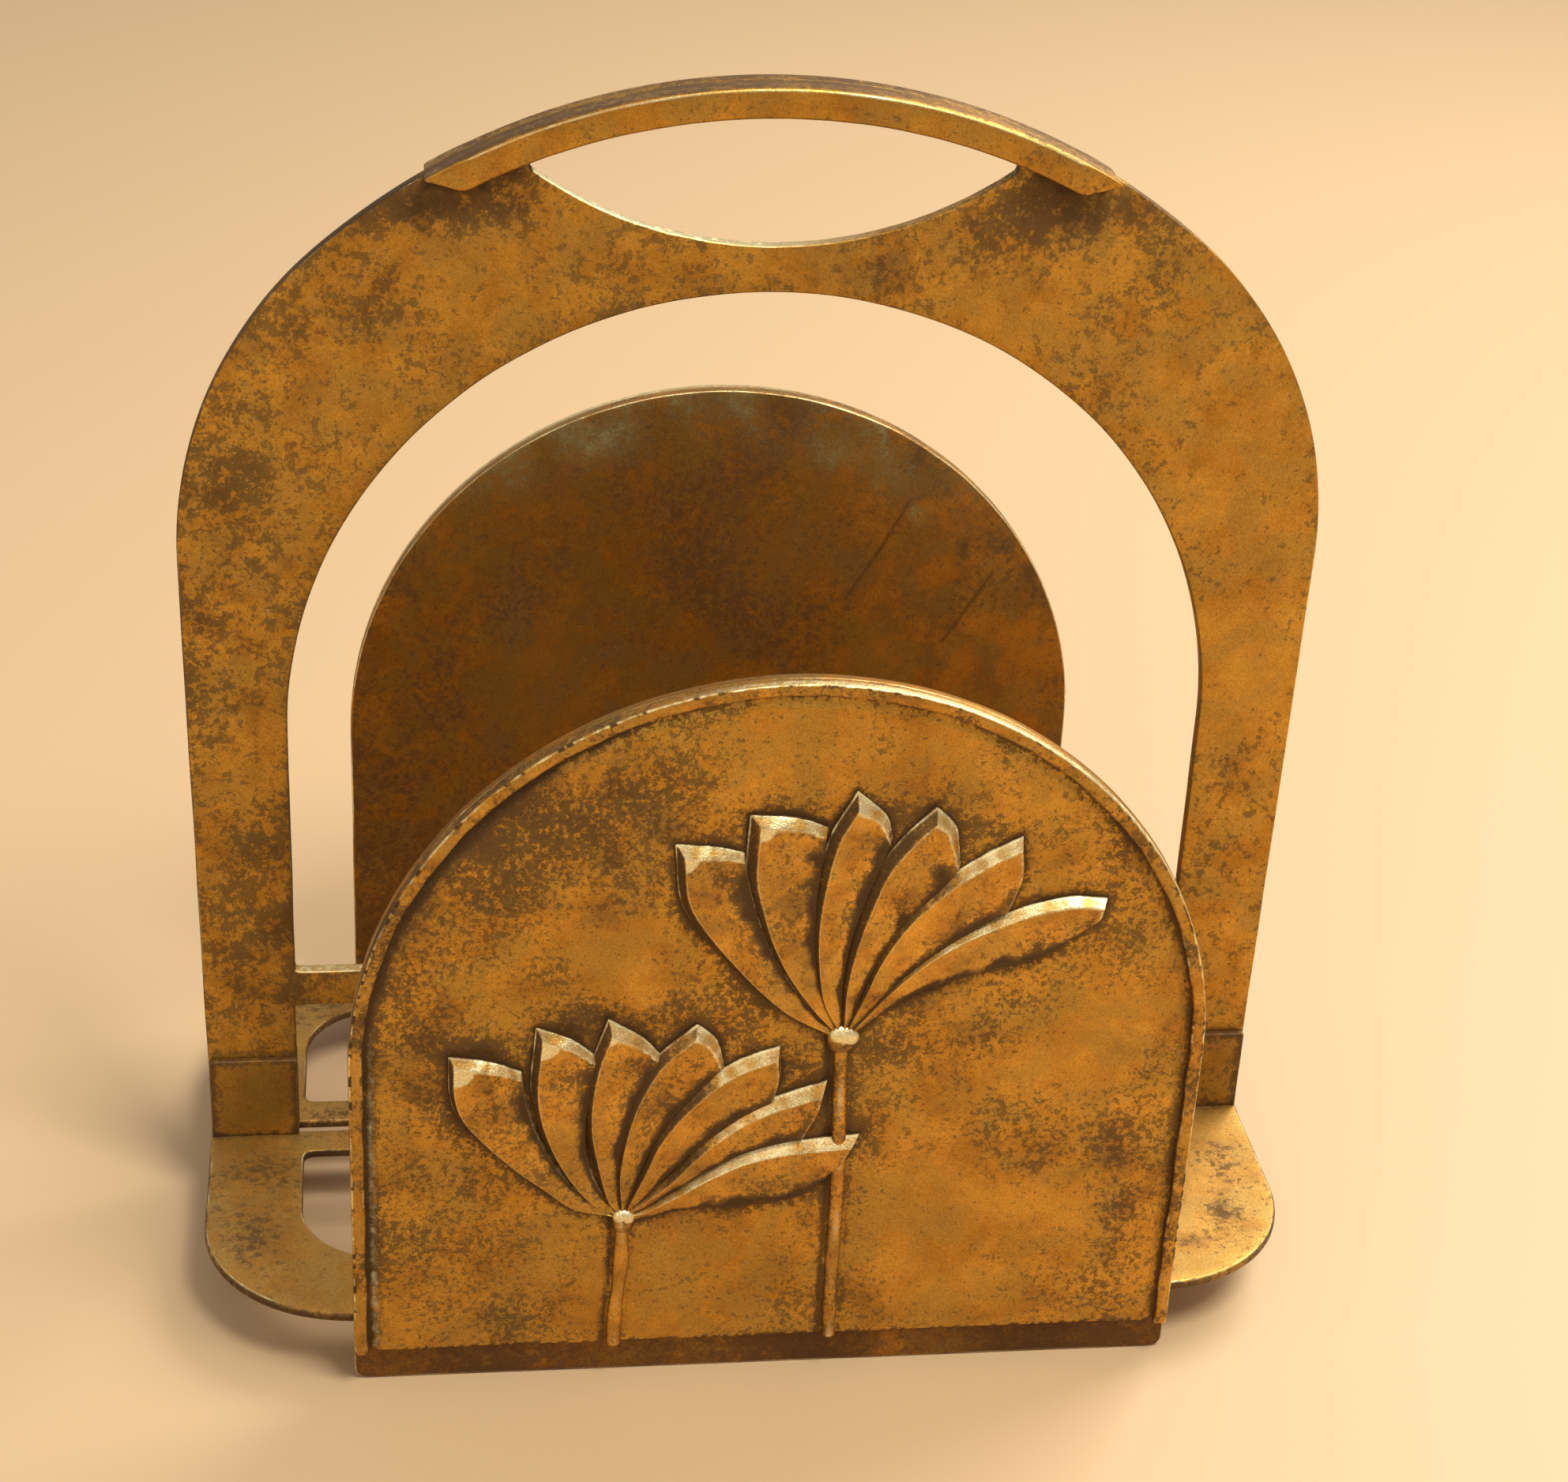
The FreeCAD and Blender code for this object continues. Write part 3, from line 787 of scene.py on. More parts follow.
GROUND_FINISH = AgedBrass("relief_ground_brass", gold=(0.610, 0.310, 0.044), speck_size=1.9,
                          fleck_size=2.2, haze=0.20, speck_cover=0.47, cloud_cover=0.40, cloud_size=22.0,
                          olive=(0.420, 0.255, 0.050), gloss=0.37, grit=0.95)
PETAL_FINISH = AgedBrass("lotus_petal_brass", gold=(0.680, 0.345, 0.054), deep_gold=(0.440, 0.200, 0.030),
                         fleck_size=1.8, haze=0.15, speck_size=1.7, speck_cover=0.47, cloud_cover=0.42,
                         cloud_size=11.0, streaks=0.35, gloss=0.31, grit=0.55)
RIM_FINISH = AgedBrass("rim_soldered_brass", gold=(0.600, 0.310, 0.052), speck_size=1.6,
                       speck_cover=0.44, cloud_cover=0.36, cloud_size=10.0, cluster_size=22.0, grit=0.5)


def dress(piece: bpy.types.Object, nodes: Sequence[str]) -> None:
    """Hang a finished piece on the frame and report it.

    Args:
        piece: the Blender object.
        nodes: the CAD nodes it stands for.
    """
    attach(piece, BODY)
    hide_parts(*nodes)
    LOG.info("%s: %d faces for %s", piece.name, len(piece.data.polygons), ", ".join(nodes))


def upright(depth_at: float) -> Placing:
    """Place a plate's own axes as X, Z and Y, with its face at a given Y looking to -Y."""
    return lambda p: np.column_stack([p[:, 0], depth_at - p[:, 2], p[:, 1]])


def lying(height: float) -> Placing:
    """Place a plate's own axes as X, Y and Z, with its face at a given height."""
    return lambda p: np.column_stack([p[:, 0], p[:, 1], height + p[:, 2]])


# ---------------------------------------------------------------- arched centre plate

ARCH_STAINS: Stains = (
    (-104, 334, 16, 7, 0.5), (-84, 336, 14, 9, 0.5), (100, 333, 20, 10, 0.45), (76, 335, 14, 9, 0.5),
    (110, 318, 30, 18, 0.35), (-112, 318, 26, 18, 0.25), (62, 326, 22, 12, 0.45),
    (-160, 215, 18, 60, 0.35), (-150, 110, 24, 50, 0.25), (160, 262, 14, 30, 0.45),
    (156, 60, 26, 40, 0.2), (-156, 60, 26, 26, 0.25), (30, 314, 26, 8, 0.45), (0, 76, 150, 9, 0.3),
    (-130, 270, 24, 30, 0.2))


@dataclass
class CentreArch:
    """The arched centre plate with its big opening, hand opening and leg gap."""

    leg_taper: float = 2.5
    leg_width: float = 28.0
    crown_flatness: float = 23.0
    shoulder_radius: float = 128.0
    neck_depth: float = 13.5
    crossbar_top: float = 82.5
    crossbar_depth: float = 12.5
    grip_depth: float = 9.0
    hand_half: float = 70.0
    hand_depth: float = 39.0
    hand_end: float = 3.0
    edge_rounding: float = 0.55
    grip_rounding: float = 0.1     # the plate's edge between the bars
    set_under: float = 0.12        # how far under the bars' top it lies there
    shoulder_top: float = 300.0    # the grip lies above this height

    def __post_init__(self) -> None:
        """Read the plate's outside sizes from the frame."""
        low, high = cad_box("arch_frame")
        self.face, self.foot, self.top = low[1], low[2], high[2]
        self.thickness = high[1] - low[1]
        self.half = high[0]
        self.crown = self.half + self.crown_flatness
        self.crown_centre = self.top - self.crown
        self.opening_half = self.half - self.leg_taper - self.leg_width

    def outer(self) -> Outline:
        """Legs, shoulders and crown as straight runs and arcs that meet tangentially."""
        leg = self.half - self.leg_taper
        inner, gap_top = self.opening_half, self.crossbar_top - self.crossbar_depth
        side = self.half - self.shoulder_radius
        reach = self.crown - self.shoulder_radius
        rise = math.sqrt(reach ** 2 - side ** 2)
        spring = self.crown_centre + rise
        lean = math.degrees(math.atan2(side, rise))
        return (Outline((inner, self.foot)).line((leg, self.foot), (self.half, spring))
                .arc((side, spring), 90.0 - lean).arc((0.0, self.crown_centre), 2.0 * lean)
                .arc((-side, spring), 90.0 - lean)
                .line((-leg, self.foot), (-inner, self.foot), (-inner, gap_top), (inner, gap_top)))

    def opening(self) -> Outline:
        """The big opening: straight sides under a half circle."""
        half = self.opening_half
        floor = self.top - self.grip_depth - self.hand_depth
        spring = floor - self.neck_depth - half
        return (Outline((-half, self.crossbar_top)).line((half, self.crossbar_top), (half, spring))
                .arc((0.0, spring), 180.0))

    def hand_gap(self) -> Outline:
        """The hand opening: a roof that follows the crown over a sagging floor."""
        roof = self.crown - self.grip_depth
        end_top = self.crown_centre + math.sqrt(roof ** 2 - self.hand_half ** 2)
        end_low = end_top - self.hand_end
        floor = self.top - self.grip_depth - self.hand_depth
        sag = end_low - floor
        radius = (self.hand_half ** 2 + sag ** 2) / (2.0 * sag)
        swing = math.degrees(math.asin(self.hand_half / radius))
        across = math.degrees(math.asin(self.hand_half / roof))
        return (Outline((-self.hand_half, end_low)).arc((0.0, floor + radius), 2.0 * swing)
                .line((self.hand_half, end_top)).arc((0.0, self.crown_centre), 2.0 * across))

    def crowned(self, loop: np.ndarray, under: float) -> np.ndarray:
        """Set a loop's points on the top of the grip to one radius, so the bars lie flush.

        Args:
            loop: a closed loop.
            under: how far under the crown they are set.
        Returns:
            The trued loop.
        """
        out = loop - [0.0, self.crown_centre]
        radius = np.hypot(out[:, 0], out[:, 1])
        on_top = (radius > self.crown - 1.2) * (loop[:, 1] > self.shoulder_top) * (
            1.0 - smooth_step(np.abs(loop[:, 0]), 94.0, 99.5))
        trued = radius + (self.crown - under - radius) * on_top
        return out * (trued / radius)[:, None] + [0.0, self.crown_centre]

    def grip_top_dirt_and_shade(self, at: np.ndarray, wall: np.ndarray) -> tuple[np.ndarray, np.ndarray]:
        """Where a place is on the grip's top, and how dark it is there: dark from handling, with painted
        shade darkest on the left and lighter towards the right.
        """
        radius = np.hypot(at[:, 0], at[:, 1] - self.crown_centre)
        top = smooth_step(radius, self.crown - 4.0, self.crown - 1.0) * smooth_step(wall, 0.75, 0.98)
        top = top * (1.0 - smooth_step(np.abs(at[:, 0]), 99.0, 103.0)) * (at[:, 1] > self.shoulder_top)
        # Painted shade over the dark of handling: darker on the left, lighter towards the right.
        return top, 0.74 - 0.30 * smooth_step(at[:, 0], -20.0, 80.0)

    def face_grime(self, at: np.ndarray, away: np.ndarray, wall: np.ndarray) -> np.ndarray:
        """Stains, a dark margin, a paler right side, and painted shadow with soiling along the grip's bars.
        """
        grime = spots(at, ARCH_STAINS) * (0.9 + 0.25 * ripple(at, 24.0, 3))
        grime += 0.16 * np.exp(-away / 3.0) * (1 - wall)
        grime *= 1.0 - 0.35 * smooth_step(at[:, 0], 60.0, 150.0)
        grime -= 0.10 * smooth_step(at[:, 0], 40.0, 150.0)
        # Painted shadow of the bars on the plate, with soiling: a dark line along their outline fading
        # outward.
        by_bar = distance_to(at, self.grip_edge)
        dirt_and_shade = 0.85 * bell(by_bar, 0.0, 1.4) + 0.30 * np.exp(-by_bar / 5.0)
        return grime + (1 - wall) * dirt_and_shade * (away > 0.0)

    def paint(self, at: np.ndarray, away: np.ndarray, wall: np.ndarray) -> dict[str, np.ndarray]:
        """Stains round the grip's ends and down the left, wear on the edges, painted shade on the left edges
        and the hand gap's roof, painted highlights on the crossbar's top and the hand gap's lower lip.
        """
        radius = np.hypot(at[:, 0], at[:, 1] - self.crown_centre)
        gap_floor = self.top - self.grip_depth - self.hand_depth
        lip = (np.abs(at[:, 0]) < self.hand_half + 1.5) * (radius < self.crown - 12.0)
        lip = lip * (at[:, 1] > gap_floor - 1.6) * (at[:, 1] < 351.0)
        outside = wall * (1 - lip)
        # Painted highlight on the crossbar's upward edge; it is also kept clear of darkening.
        lit_sill = outside * bell(at[:, 1], self.crossbar_top, 1.3) * (np.abs(at[:, 0]) < self.opening_half)
        # Edge walls get painted shade, much darker on the left than on the right.
        grime = self.face_grime(at, away, wall) + outside * np.where(at[:, 0] < 0.0, 0.62, 0.12)
        grime += outside * 0.45 * smooth_step(at[:, 1], self.shoulder_top, 360.0)
        grime *= 1 - 0.7 * lit_sill
        # Painted shade on the roof of the hand gap, which faces down.
        grime += bell(radius, self.crown - self.grip_depth, 2.5) * (at[:, 1] > 330.0) * wall * 0.6
        # The hand gap's lower lip is darker towards the right.
        grime += 0.25 * wall * lip * smooth_step(at[:, 0], 10.0, 60.0)
        worn = bell(wall, 0.45, 0.3) * (0.34 + 0.30 * ripple(at, 33.0, 4)) * (1 - lip)
        worn *= 1.0 - smooth_step(radius, self.crown - 5.0, self.crown - 3.0) * (np.abs(at[:, 0]) < 100.0)
        # Painted highlights on the hand gap's lower lip, strongest on the left, and on the crossbar's upward
        # edge.
        worn += wall * lip * (0.85 - 0.55 * smooth_step(at[:, 0], -20.0, 50.0)) + 0.55 * lit_sill
        # The grip's top takes its own tone: dark from handling, with painted shade from left to right.
        top, tone = self.grip_top_dirt_and_shade(at, wall)
        return painted(1.2, grime=grime + (tone - grime) * top, worn=worn * (1 - top))

    def build(self) -> None:
        """Make the plate and dress it."""
        # The bars' outline, for the painted shadow they cast on the plate.
        self.grip_edge = GripCheeks(self).outline().filed(step=1.5, soften=1.0, wobble=0.0, seed=1)
        outer = self.crowned(self.outer().filed(step=1.6, soften=0.9, wobble=0.30, seed=11), self.set_under)
        opening = self.opening().filed(step=1.6, soften=1.1, wobble=0.35, seed=12)
        hand_gap = self.hand_gap().filed(step=1.3, soften=0.8, wobble=0.3, seed=13)
        under_grip = 1.0 - smooth_step(np.abs(outer[:, 0]), 92.0, 101.0)
        crisp = self.edge_rounding + (self.grip_rounding - self.edge_rounding) * under_grip
        rounding = np.where(outer[:, 1] > 330.0, crisp, self.edge_rounding)
        plate = Plate(outer, [opening, hand_gap], self.thickness, rounding, rounding, step=3.4,
                      unevenness=0.18, seed=14, hole_rounding=self.edge_rounding)
        piece = plate.shell(self.paint).build("arch_plate", upright(self.face), Side.FRONT,
                                              ARCH_FINISH.material())
        dress(piece, ["arch_frame"])


@dataclass
class GripCheeks:
    """The two bars that thicken the crown into a grip, one on each face."""

    arch: CentreArch
    lap: float = 18.0
    end_slant: float = 12.0
    end_radius: float = 5.0
    chamfer: float = 1.3
    softness: float = 0.8
    set_under: float = 0.04        # how far under the crown the tops are trued
    sunk: float = 0.6              # how far the bars reach into the plate

    def outline(self) -> Outline:
        """A band between two arcs about the crown's centre, with slanted rounded ends."""
        arch = self.arch
        inner, outer = arch.crown - arch.grip_depth, arch.crown - 0.05
        inner_half = arch.hand_half + self.lap
        outer_half = inner_half + self.end_slant
        low = arch.crown_centre + math.sqrt(inner ** 2 - inner_half ** 2)
        high = arch.crown_centre + math.sqrt(outer ** 2 - outer_half ** 2)
        outer_turn = math.degrees(math.asin(outer_half / outer))
        along = (low - arch.crown_centre, inner_half)
        band = Outline((0.0, arch.crown_centre + outer)).arc((0.0, arch.crown_centre), outer_turn)
        band.fillet_to((-inner_half, low), (-inner_half + along[0], low + along[1]), self.end_radius)
        inner_turn = math.degrees(math.asin(-band.here[0] / inner))
        band.arc((0.0, arch.crown_centre), -2.0 * inner_turn)
        band.fillet_to((inner_half, low), (outer_half, high), self.end_radius)
        return band.line((outer_half, high)).arc((0.0, arch.crown_centre), outer_turn)

    def paint(self, at: np.ndarray, away: np.ndarray, wall: np.ndarray) -> dict[str, np.ndarray]:
        """Dark on the top from handling, with painted shade; rubbed bright on the chamfer with a painted
        highlight; painted shade along the underside and the ends.
        """
        radius = np.hypot(at[:, 0], at[:, 1] - self.arch.crown_centre)
        share = smooth_step(radius, self.arch.crown - self.arch.grip_depth, self.arch.crown)
        ends = smooth_step(np.abs(at[:, 0]), 86.0, 92.0)
        # Painted shade on the lower wall, along the face's lower edge and on the ends' walls, where the bar
        # overhangs the plate.
        grime = 0.95 * smooth_step(wall, 0.80, 1.0) * (1 - share) + 0.12
        grime += 0.6 * np.exp(-away / 1.1) * (1 - share) * (away > 0.0) + 0.5 * ends * wall * (1 - share)
        # The top chamfer: rubbed bright, with a painted highlight.
        worn = bell(wall, 0.45, 0.3) * 0.85 * share ** 2 * (0.9 + 0.2 * ripple(at, 24.0, 5)) * (1 - ends)
        top, tone = self.arch.grip_top_dirt_and_shade(at, wall)
        return painted(grime=grime + (tone - grime) * top, worn=worn)

    def build(self) -> None:
        """Make both bars and dress them."""
        finish = GRIP_FINISH.material()
        low, high = cad_box("grip_cheek_front")
        for side, seed in ((Side.FRONT, 26), (Side.REAR, 25)):
            loop = self.outline().filed(step=1.1, soften=0.9, wobble=0.22, seed=seed)
            loop = self.arch.crowned(loop, self.set_under)
            radius = np.hypot(loop[:, 0], loop[:, 1] - self.arch.crown_centre)
            rounding = self.softness + (self.chamfer - self.softness) * smooth_step(
                radius, self.arch.crown - 4.0, self.arch.crown - 1.0)
            inner_half = self.arch.hand_half + self.lap
            ends = smooth_step(np.abs(loop[:, 0]), inner_half - 2.0, inner_half + 4.0)
            rounding = rounding + (0.45 - rounding) * ends
            plate = Plate(loop, [], high[1] - low[1] + self.sunk, rounding, 0.05, step=2.2, seed=22)
            piece = plate.shell(self.paint).build(f"grip_bar_{side.value}", upright(low[1]), side, finish)
            dress(piece, [f"grip_cheek_{side.value}"])


# ---------------------------------------------------------------- base

BASE_STAINS: Stains = ((152, -62, 7, 8, 0.8), (140, -78, 10, 6, 0.5), (158, -36, 8, 10, 0.4),
                       (-150, -20, 16, 12, 0.4), (-158, -60, 10, 16, 0.35))


@dataclass
class BasePlates:
    """Two flat half bases, each with a D-shaped slot and two lugs on the arch's legs."""

    corner_radius: float = 47.5
    side_strip: float = 30.0
    inner_strip: float = 11.7
    outer_strip: float = 27.5
    slot_outer_radius: float = 27.0
    slot_inner_radius: float = 3.0
    lug_height: float = 29.0
    lug_thickness: float = 2.5
    thickness: float = 3.0
    leg_width: float = 28.0
    margin: float = 0.5
    lug_sunk: float = 1.0          # how far a lug reaches into the plate

    def __post_init__(self) -> None:
        """Read the plate's outside sizes from the frame."""
        low, high = cad_box("base_plate_front")
        self.half, self.inner, self.outer = high[0], high[1], low[1]
        self.bottom, self.top = low[2], low[2] + self.thickness

    def outline(self) -> Outline:
        """A rectangle whose two outer corners are large quarter circles."""
        r = self.corner_radius
        return (Outline((self.half, self.inner)).line((-self.half, self.inner), (-self.half, self.outer + r))
                .arc((-self.half + r, self.outer + r), 90.0).line((self.half - r, self.outer))
                .arc((self.half - r, self.outer + r), 90.0))

    def slot(self) -> Outline:
        """The D-shaped slot: small corners by the arch, large ones outward."""
        half = self.half - self.side_strip
        near, far = self.inner - self.inner_strip, self.outer + self.outer_strip
        small, large = self.slot_inner_radius, self.slot_outer_radius
        return (Outline((half - small, near)).line((-half + small, near))
                .arc((-half + small, near - small), 90.0).line((-half, far + large))
                .arc((-half + large, far + large), 90.0).line((half - large, far))
                .arc((half - large, far + large), 90.0).line((half, near - small))
                .arc((half - small, near - small), 90.0))

    def paint(self, at: np.ndarray, away: np.ndarray, wall: np.ndarray) -> dict[str, np.ndarray]:
        """Stains on the right, painted shadow along the lugs' feet, darker by the panel, painted shade on the
        edge walls, soft wear.
        """
        grime = spots(at, BASE_STAINS)
        # Painted shadow along the line where the lugs stand on the plate.
        grime += 0.9 * np.exp(-np.abs(at[:, 1] - self.inner + 2.5) / 1.2) * (1 - wall)
        grime += 0.5 * np.exp(-(at[:, 1] - self.outer) / 4.0) * (np.abs(at[:, 0]) < 124)
        # Painted shade on the plate's edge walls.
        grime += wall * 0.75 * (0.9 + 0.3 * ripple(at, 30.0, 6))
        worn = bell(wall, 0.42, 0.3) * (0.50 + 0.4 * ripple(at, 28.0, 7))
        return painted(1.1, grime=grime, worn=worn)

    def lug_paint(self, at: np.ndarray, away: np.ndarray, wall: np.ndarray) -> dict[str, np.ndarray]:
        """Soiling and painted shade along the lug's outline and walls, and a painted shadow at its foot."""
        # Soiling and painted shade along the lug's outline and on its walls.
        grime = 0.7 * np.exp(-away / 1.3) * (1 - wall) + 0.7 * wall
        # Painted contact shadow where the lug meets the plate.
        grime += 0.8 * np.exp(-np.abs(at[:, 1] - self.top) / 1.5)
        return painted(1.1, grime=grime, worn=bell(wall, 0.35, 0.25) * 0.45)

    def lug(self, sign: float) -> Outline:
        """A lug's rectangle, from the plate's underside up the leg."""
        wide = self.half - self.margin
        narrow = wide - self.leg_width
        top = self.bottom + self.lug_height + self.thickness
        left, right = sorted((sign * wide, sign * narrow))
        foot = self.top - self.lug_sunk
        return Outline((left, foot)).line((right, foot), (right, top), (left, top))

    def build(self) -> None:
        """Make both half bases with their lugs and dress them."""
        finish, lug_finish = BASE_FINISH.material(), LUG_FINISH.material()
        for side, seed in ((Side.FRONT, 31), (Side.REAR, 36)):
            node = f"base_plate_{side.value}"
            outline = self.outline().filed(step=1.8, soften=1.0, wobble=0.25, seed=seed)
            slot = self.slot().filed(step=1.6, soften=0.9, wobble=0.3, seed=seed + 1)
            plate = Plate(outline, [slot], self.thickness, 1.1, 0.6, step=3.4, unevenness=0.15, seed=seed + 2)
            piece = plate.shell(self.paint).build(f"base_{side.value}", lying(self.top), side, finish, 60.0)
            dress(piece, [node])
            for word, sign in (("left", -1.0), ("right", 1.0)):
                outline = self.lug(sign).filed(step=1.2, soften=0.7, wobble=0.15, seed=seed + 3)
                lug = Plate(outline, [], self.lug_thickness, 0.5, 0.3, step=2.4, unevenness=0.15,
                            seed=seed + 4)
                place = upright(self.inner - self.lug_thickness)
                piece = lug.shell(self.lug_paint).build(f"lug_{word}_{side.value}", place, side, lug_finish)
                dress(piece, [node])


# ---------------------------------------------------------------- side panels

BACK_GREEN: Stains = ((67, 193, 4, 3, 0.8), (52, 205, 3, 3, 0.5), (-58, 140, 26, 36, 0.35),
                      (40, 214, 9, 5, 0.5), (-45, 222, 16, 6, 0.4), (20, 180, 24, 20, 0.2))
BACK_PALE: Stains = ((-70, 110, 30, 40, 0.35), (70, 150, 40, 40, 0.3), (-85, 60, 24, 26, 0.25))
BACK_DARK: Stains = ((84, 181, 3, 5, 0.6), (96, 182, 5, 4, 0.5), (66, 216, 3, 6, 0.5), (107, 172, 3, 3, 0.5))


@dataclass
class SidePanel:
    """Sizes that the back plate, rim and relief of one leaning panel share."""

    lean: float = 1.0
    plate_thickness: float = 3.2
    rim_width: float = 4.0
    rim_bottom: float = 12.0
    ground_rise: float = 1.5

    def __post_init__(self) -> None:
        """Read the panel's outside sizes from the frame."""
        high = cad_box("back_plate_front")[1]
        self.inner_face = high[1]
        self.half = high[0]
        self.height = high[2] / math.cos(math.radians(self.lean))
        self.spring = self.height - self.half

    def place(self, p: np.ndarray) -> np.ndarray:
        """Lean a panel: across stays, height tips outward, depth is outward when negative."""
        tip = math.radians(self.lean)
        return np.column_stack([p[:, 0], self.inner_face + p[:, 2] * math.cos(tip) - p[:, 1] * math.sin(tip),
                                p[:, 2] * math.sin(tip) + p[:, 1] * math.cos(tip)])


@dataclass
class BackPlates:
    """The plain plates at the back of the side panels, down to the floor."""

    panel: SidePanel
    foot_radius: float = 3.5
    handed: float = 1.0            # 1 where the plate's across axis is the rack's, else -1

    def outline(self) -> Outline:
        """A round-headed tombstone with two small foot corners."""
        half, r = self.panel.half, self.foot_radius
        return (Outline((-half + r, 0.0)).line((half - r, 0.0)).arc((half - r, r), 90.0)
                .line((half, self.panel.spring)).arc((0.0, self.panel.spring), 180.0)
                .line((-half, r)).arc((-half + r, r), 90.0))

    def paint(self, at: np.ndarray, away: np.ndarray, wall: np.ndarray) -> dict[str, np.ndarray]:
        """Brown all over, darkest low down, verdigris under the top edge."""
        own = at * [self.handed, 1.0]
        radius = np.hypot(at[:, 0], np.maximum(at[:, 1] - self.panel.spring, 0.0))
        rim = smooth_step(radius, self.panel.half - 34.0, self.panel.half - 3.0)
        high = smooth_step(at[:, 1], 150.0, 225.0)
        green = rim * high * (0.58 + 0.35 * ripple(at, 22.0, 9)) * (1 - 0.6 * wall)
        green += spots(own, BACK_GREEN)
        grime = 0.40 + 0.35 * (1 - smooth_step(at[:, 1], 20.0, 130.0)) + 0.15 * ripple(at, 60.0, 10)
        grime += spots(own, BACK_DARK) - spots(at, BACK_PALE)
        worn = bell(wall, 0.6, 0.35) * (0.75 + 0.30 * ripple(at, 30.0, 11))
        return painted(grime=grime * (1 - 0.4 * wall), worn=worn, green=green)

    def build(self) -> None:
        """Make both plates and dress them."""
        finish = BACK_FINISH.material()
        thickness = self.panel.plate_thickness
        for side, seed, self.handed in ((Side.FRONT, 41, 1.0), (Side.REAR, 46, -1.0)):
            outline = self.outline().filed(step=1.6, soften=0.7, wobble=0.28, seed=seed)
            plate = Plate(outline, [], thickness, 0.6, 0.7, step=3.4, unevenness=0.2, seed=seed + 1)
            shell = plate.shell(self.paint)
            for points in shell.points:
                points[:, 2] = -thickness - points[:, 2]
            piece = shell.build(f"back_plate_{side.value}_brass", self.panel.place, side, finish)
            dress(piece, [f"back_plate_{side.value}"])


@dataclass
class Rims:
    """The strip soldered round each relief, carried along the round-headed outline."""

    panel: SidePanel
    outer_inset: float = 0.25

    def path(self, count: int = 900) -> tuple[np.ndarray, np.ndarray]:
        """The outer line from one foot over the top to the other, with inward normals."""
        p = self.panel
        half, low = p.half - self.outer_inset, p.rim_bottom
        turn = np.radians(np.linspace(180.0, 0.0, 200))
        line = np.vstack([[[-half, low]], np.stack([half * np.cos(turn), p.spring + half * np.sin(turn)], 1),
                          [[half, low]]])
        line = respaced(line, count)
        return line, -left_normals_open(line)

    def section(self) -> tuple[np.ndarray, np.ndarray, np.ndarray]:
        """The strip's section: inset from the outer line, height, and edge wear."""
        inset = np.array([0.0, 0.0, 0.03, 0.12, 0.34, 0.70, 1.10, 2.0, 2.9, 3.4, 3.70, 3.92, 4.0, 4.0])
        height = np.array([-0.3, 1.7, 2.85, 3.36, 3.62, 3.72, 3.74, 3.72, 3.62, 3.48, 3.20, 2.7, 1.6, 0.2])
        worn = np.array([0.0, 0.1, 0.25, 0.85, 1.0, 0.45, 0.1, 0.05, 0.1, 0.5, 0.7, 0.3, 0.0, 0.0])
        return inset, height, worn

    def surface(self, line: np.ndarray, inward: np.ndarray, seed: int) -> np.ndarray:
        """The section carried along the line, its inner edge and its top slightly uneven."""
        inset, height, _ = self.section()
        sway = 0.22 * ripple(line, 26.0, seed) + 0.12 * ripple(line, 9.0, seed + 1)
        reach = inset + sway[:, None] * (inset / inset.max()) ** 2
        lift = height - (0.10 + 0.10 * ripple(line, 14.0, seed + 2))[:, None] * (height > 1.0)
        flat = line[:, None] + inward[:, None] * reach[:, :, None]
        return np.dstack([flat, -self.panel.plate_thickness - lift])

    def layers(self, line: np.ndarray, seed: int) -> dict[str, np.ndarray]:
        """Dark in the corners and chips, painted shade on the outer wall on the left, a broken bright line
        along the outer edge, and a painted highlight on the outer wall on the right.
        """
        inset, height, worn = self.section()
        left = smooth_step(-line[:, :1], -30.0, 90.0)
        chipping = ripple(line, 6.0, seed + 5, 14) + 0.5 * ripple(line, 2.6, seed + 6, 14)
        chips = smooth_step(chipping, 0.35, 0.75)[:, None]
        outer_edge = (inset > 0.05) * (inset < 1.0)
        # On the left the outer wall gets painted shade.
        grime = 0.22 + 0.40 * left * (inset < 0.05) + 0.55 * (inset > 3.85)
        grime = grime + 0.2 * ripple(line, 30.0, seed + 3)[:, None]
        grime = grime + (0.45 + 0.4 * left) * chips * (outer_edge + 0.5 * (inset > 3.0))
        broken = 0.58 + 0.30 * ripple(line, 30.0, seed + 4) + 0.30 * ripple(line, 4.5, seed + 7, 14)
        rub_and_highlight = worn * broken[:, None] * (1 - 0.8 * chips)
        # On the right the outer wall and its edge get a painted highlight.
        rub_and_highlight = np.maximum(rub_and_highlight, (1 - left) * 0.75 * (inset < 0.2) * (height > 1.0))
        return painted(grime=grime, worn=rub_and_highlight)

    def build(self) -> None:
        """Make both rims and dress them."""
        finish = RIM_FINISH.material()
        line, inward = self.path()
        for side, seed in ((Side.FRONT, 51), (Side.REAR, 56)):
            shell = Shell()
            index = shell.add_grid(self.surface(line, inward, seed), looped=True, **self.layers(line, seed))
            shell.caps += [index[0].tolist(), index[-1].tolist()]
            piece = shell.build(f"rim_{side.value}", self.panel.place, side, finish, 60.0)
            dress(piece, [f"rim_strip_{side.value}"])


def left_normals_open(line: np.ndarray) -> np.ndarray:
    """Unit normals to the left of an open line."""
    along = np.gradient(line, axis=0)
    along /= np.linalg.norm(along, axis=1, keepdims=True)
    return np.stack([-along[:, 1], along[:, 0]], 1)


# ---------------------------------------------------------------- lotus relief


def steps(*numbers: float) -> np.ndarray:
    """One number for each step down a bevel, as a column."""
    return np.array(numbers)[:, None]


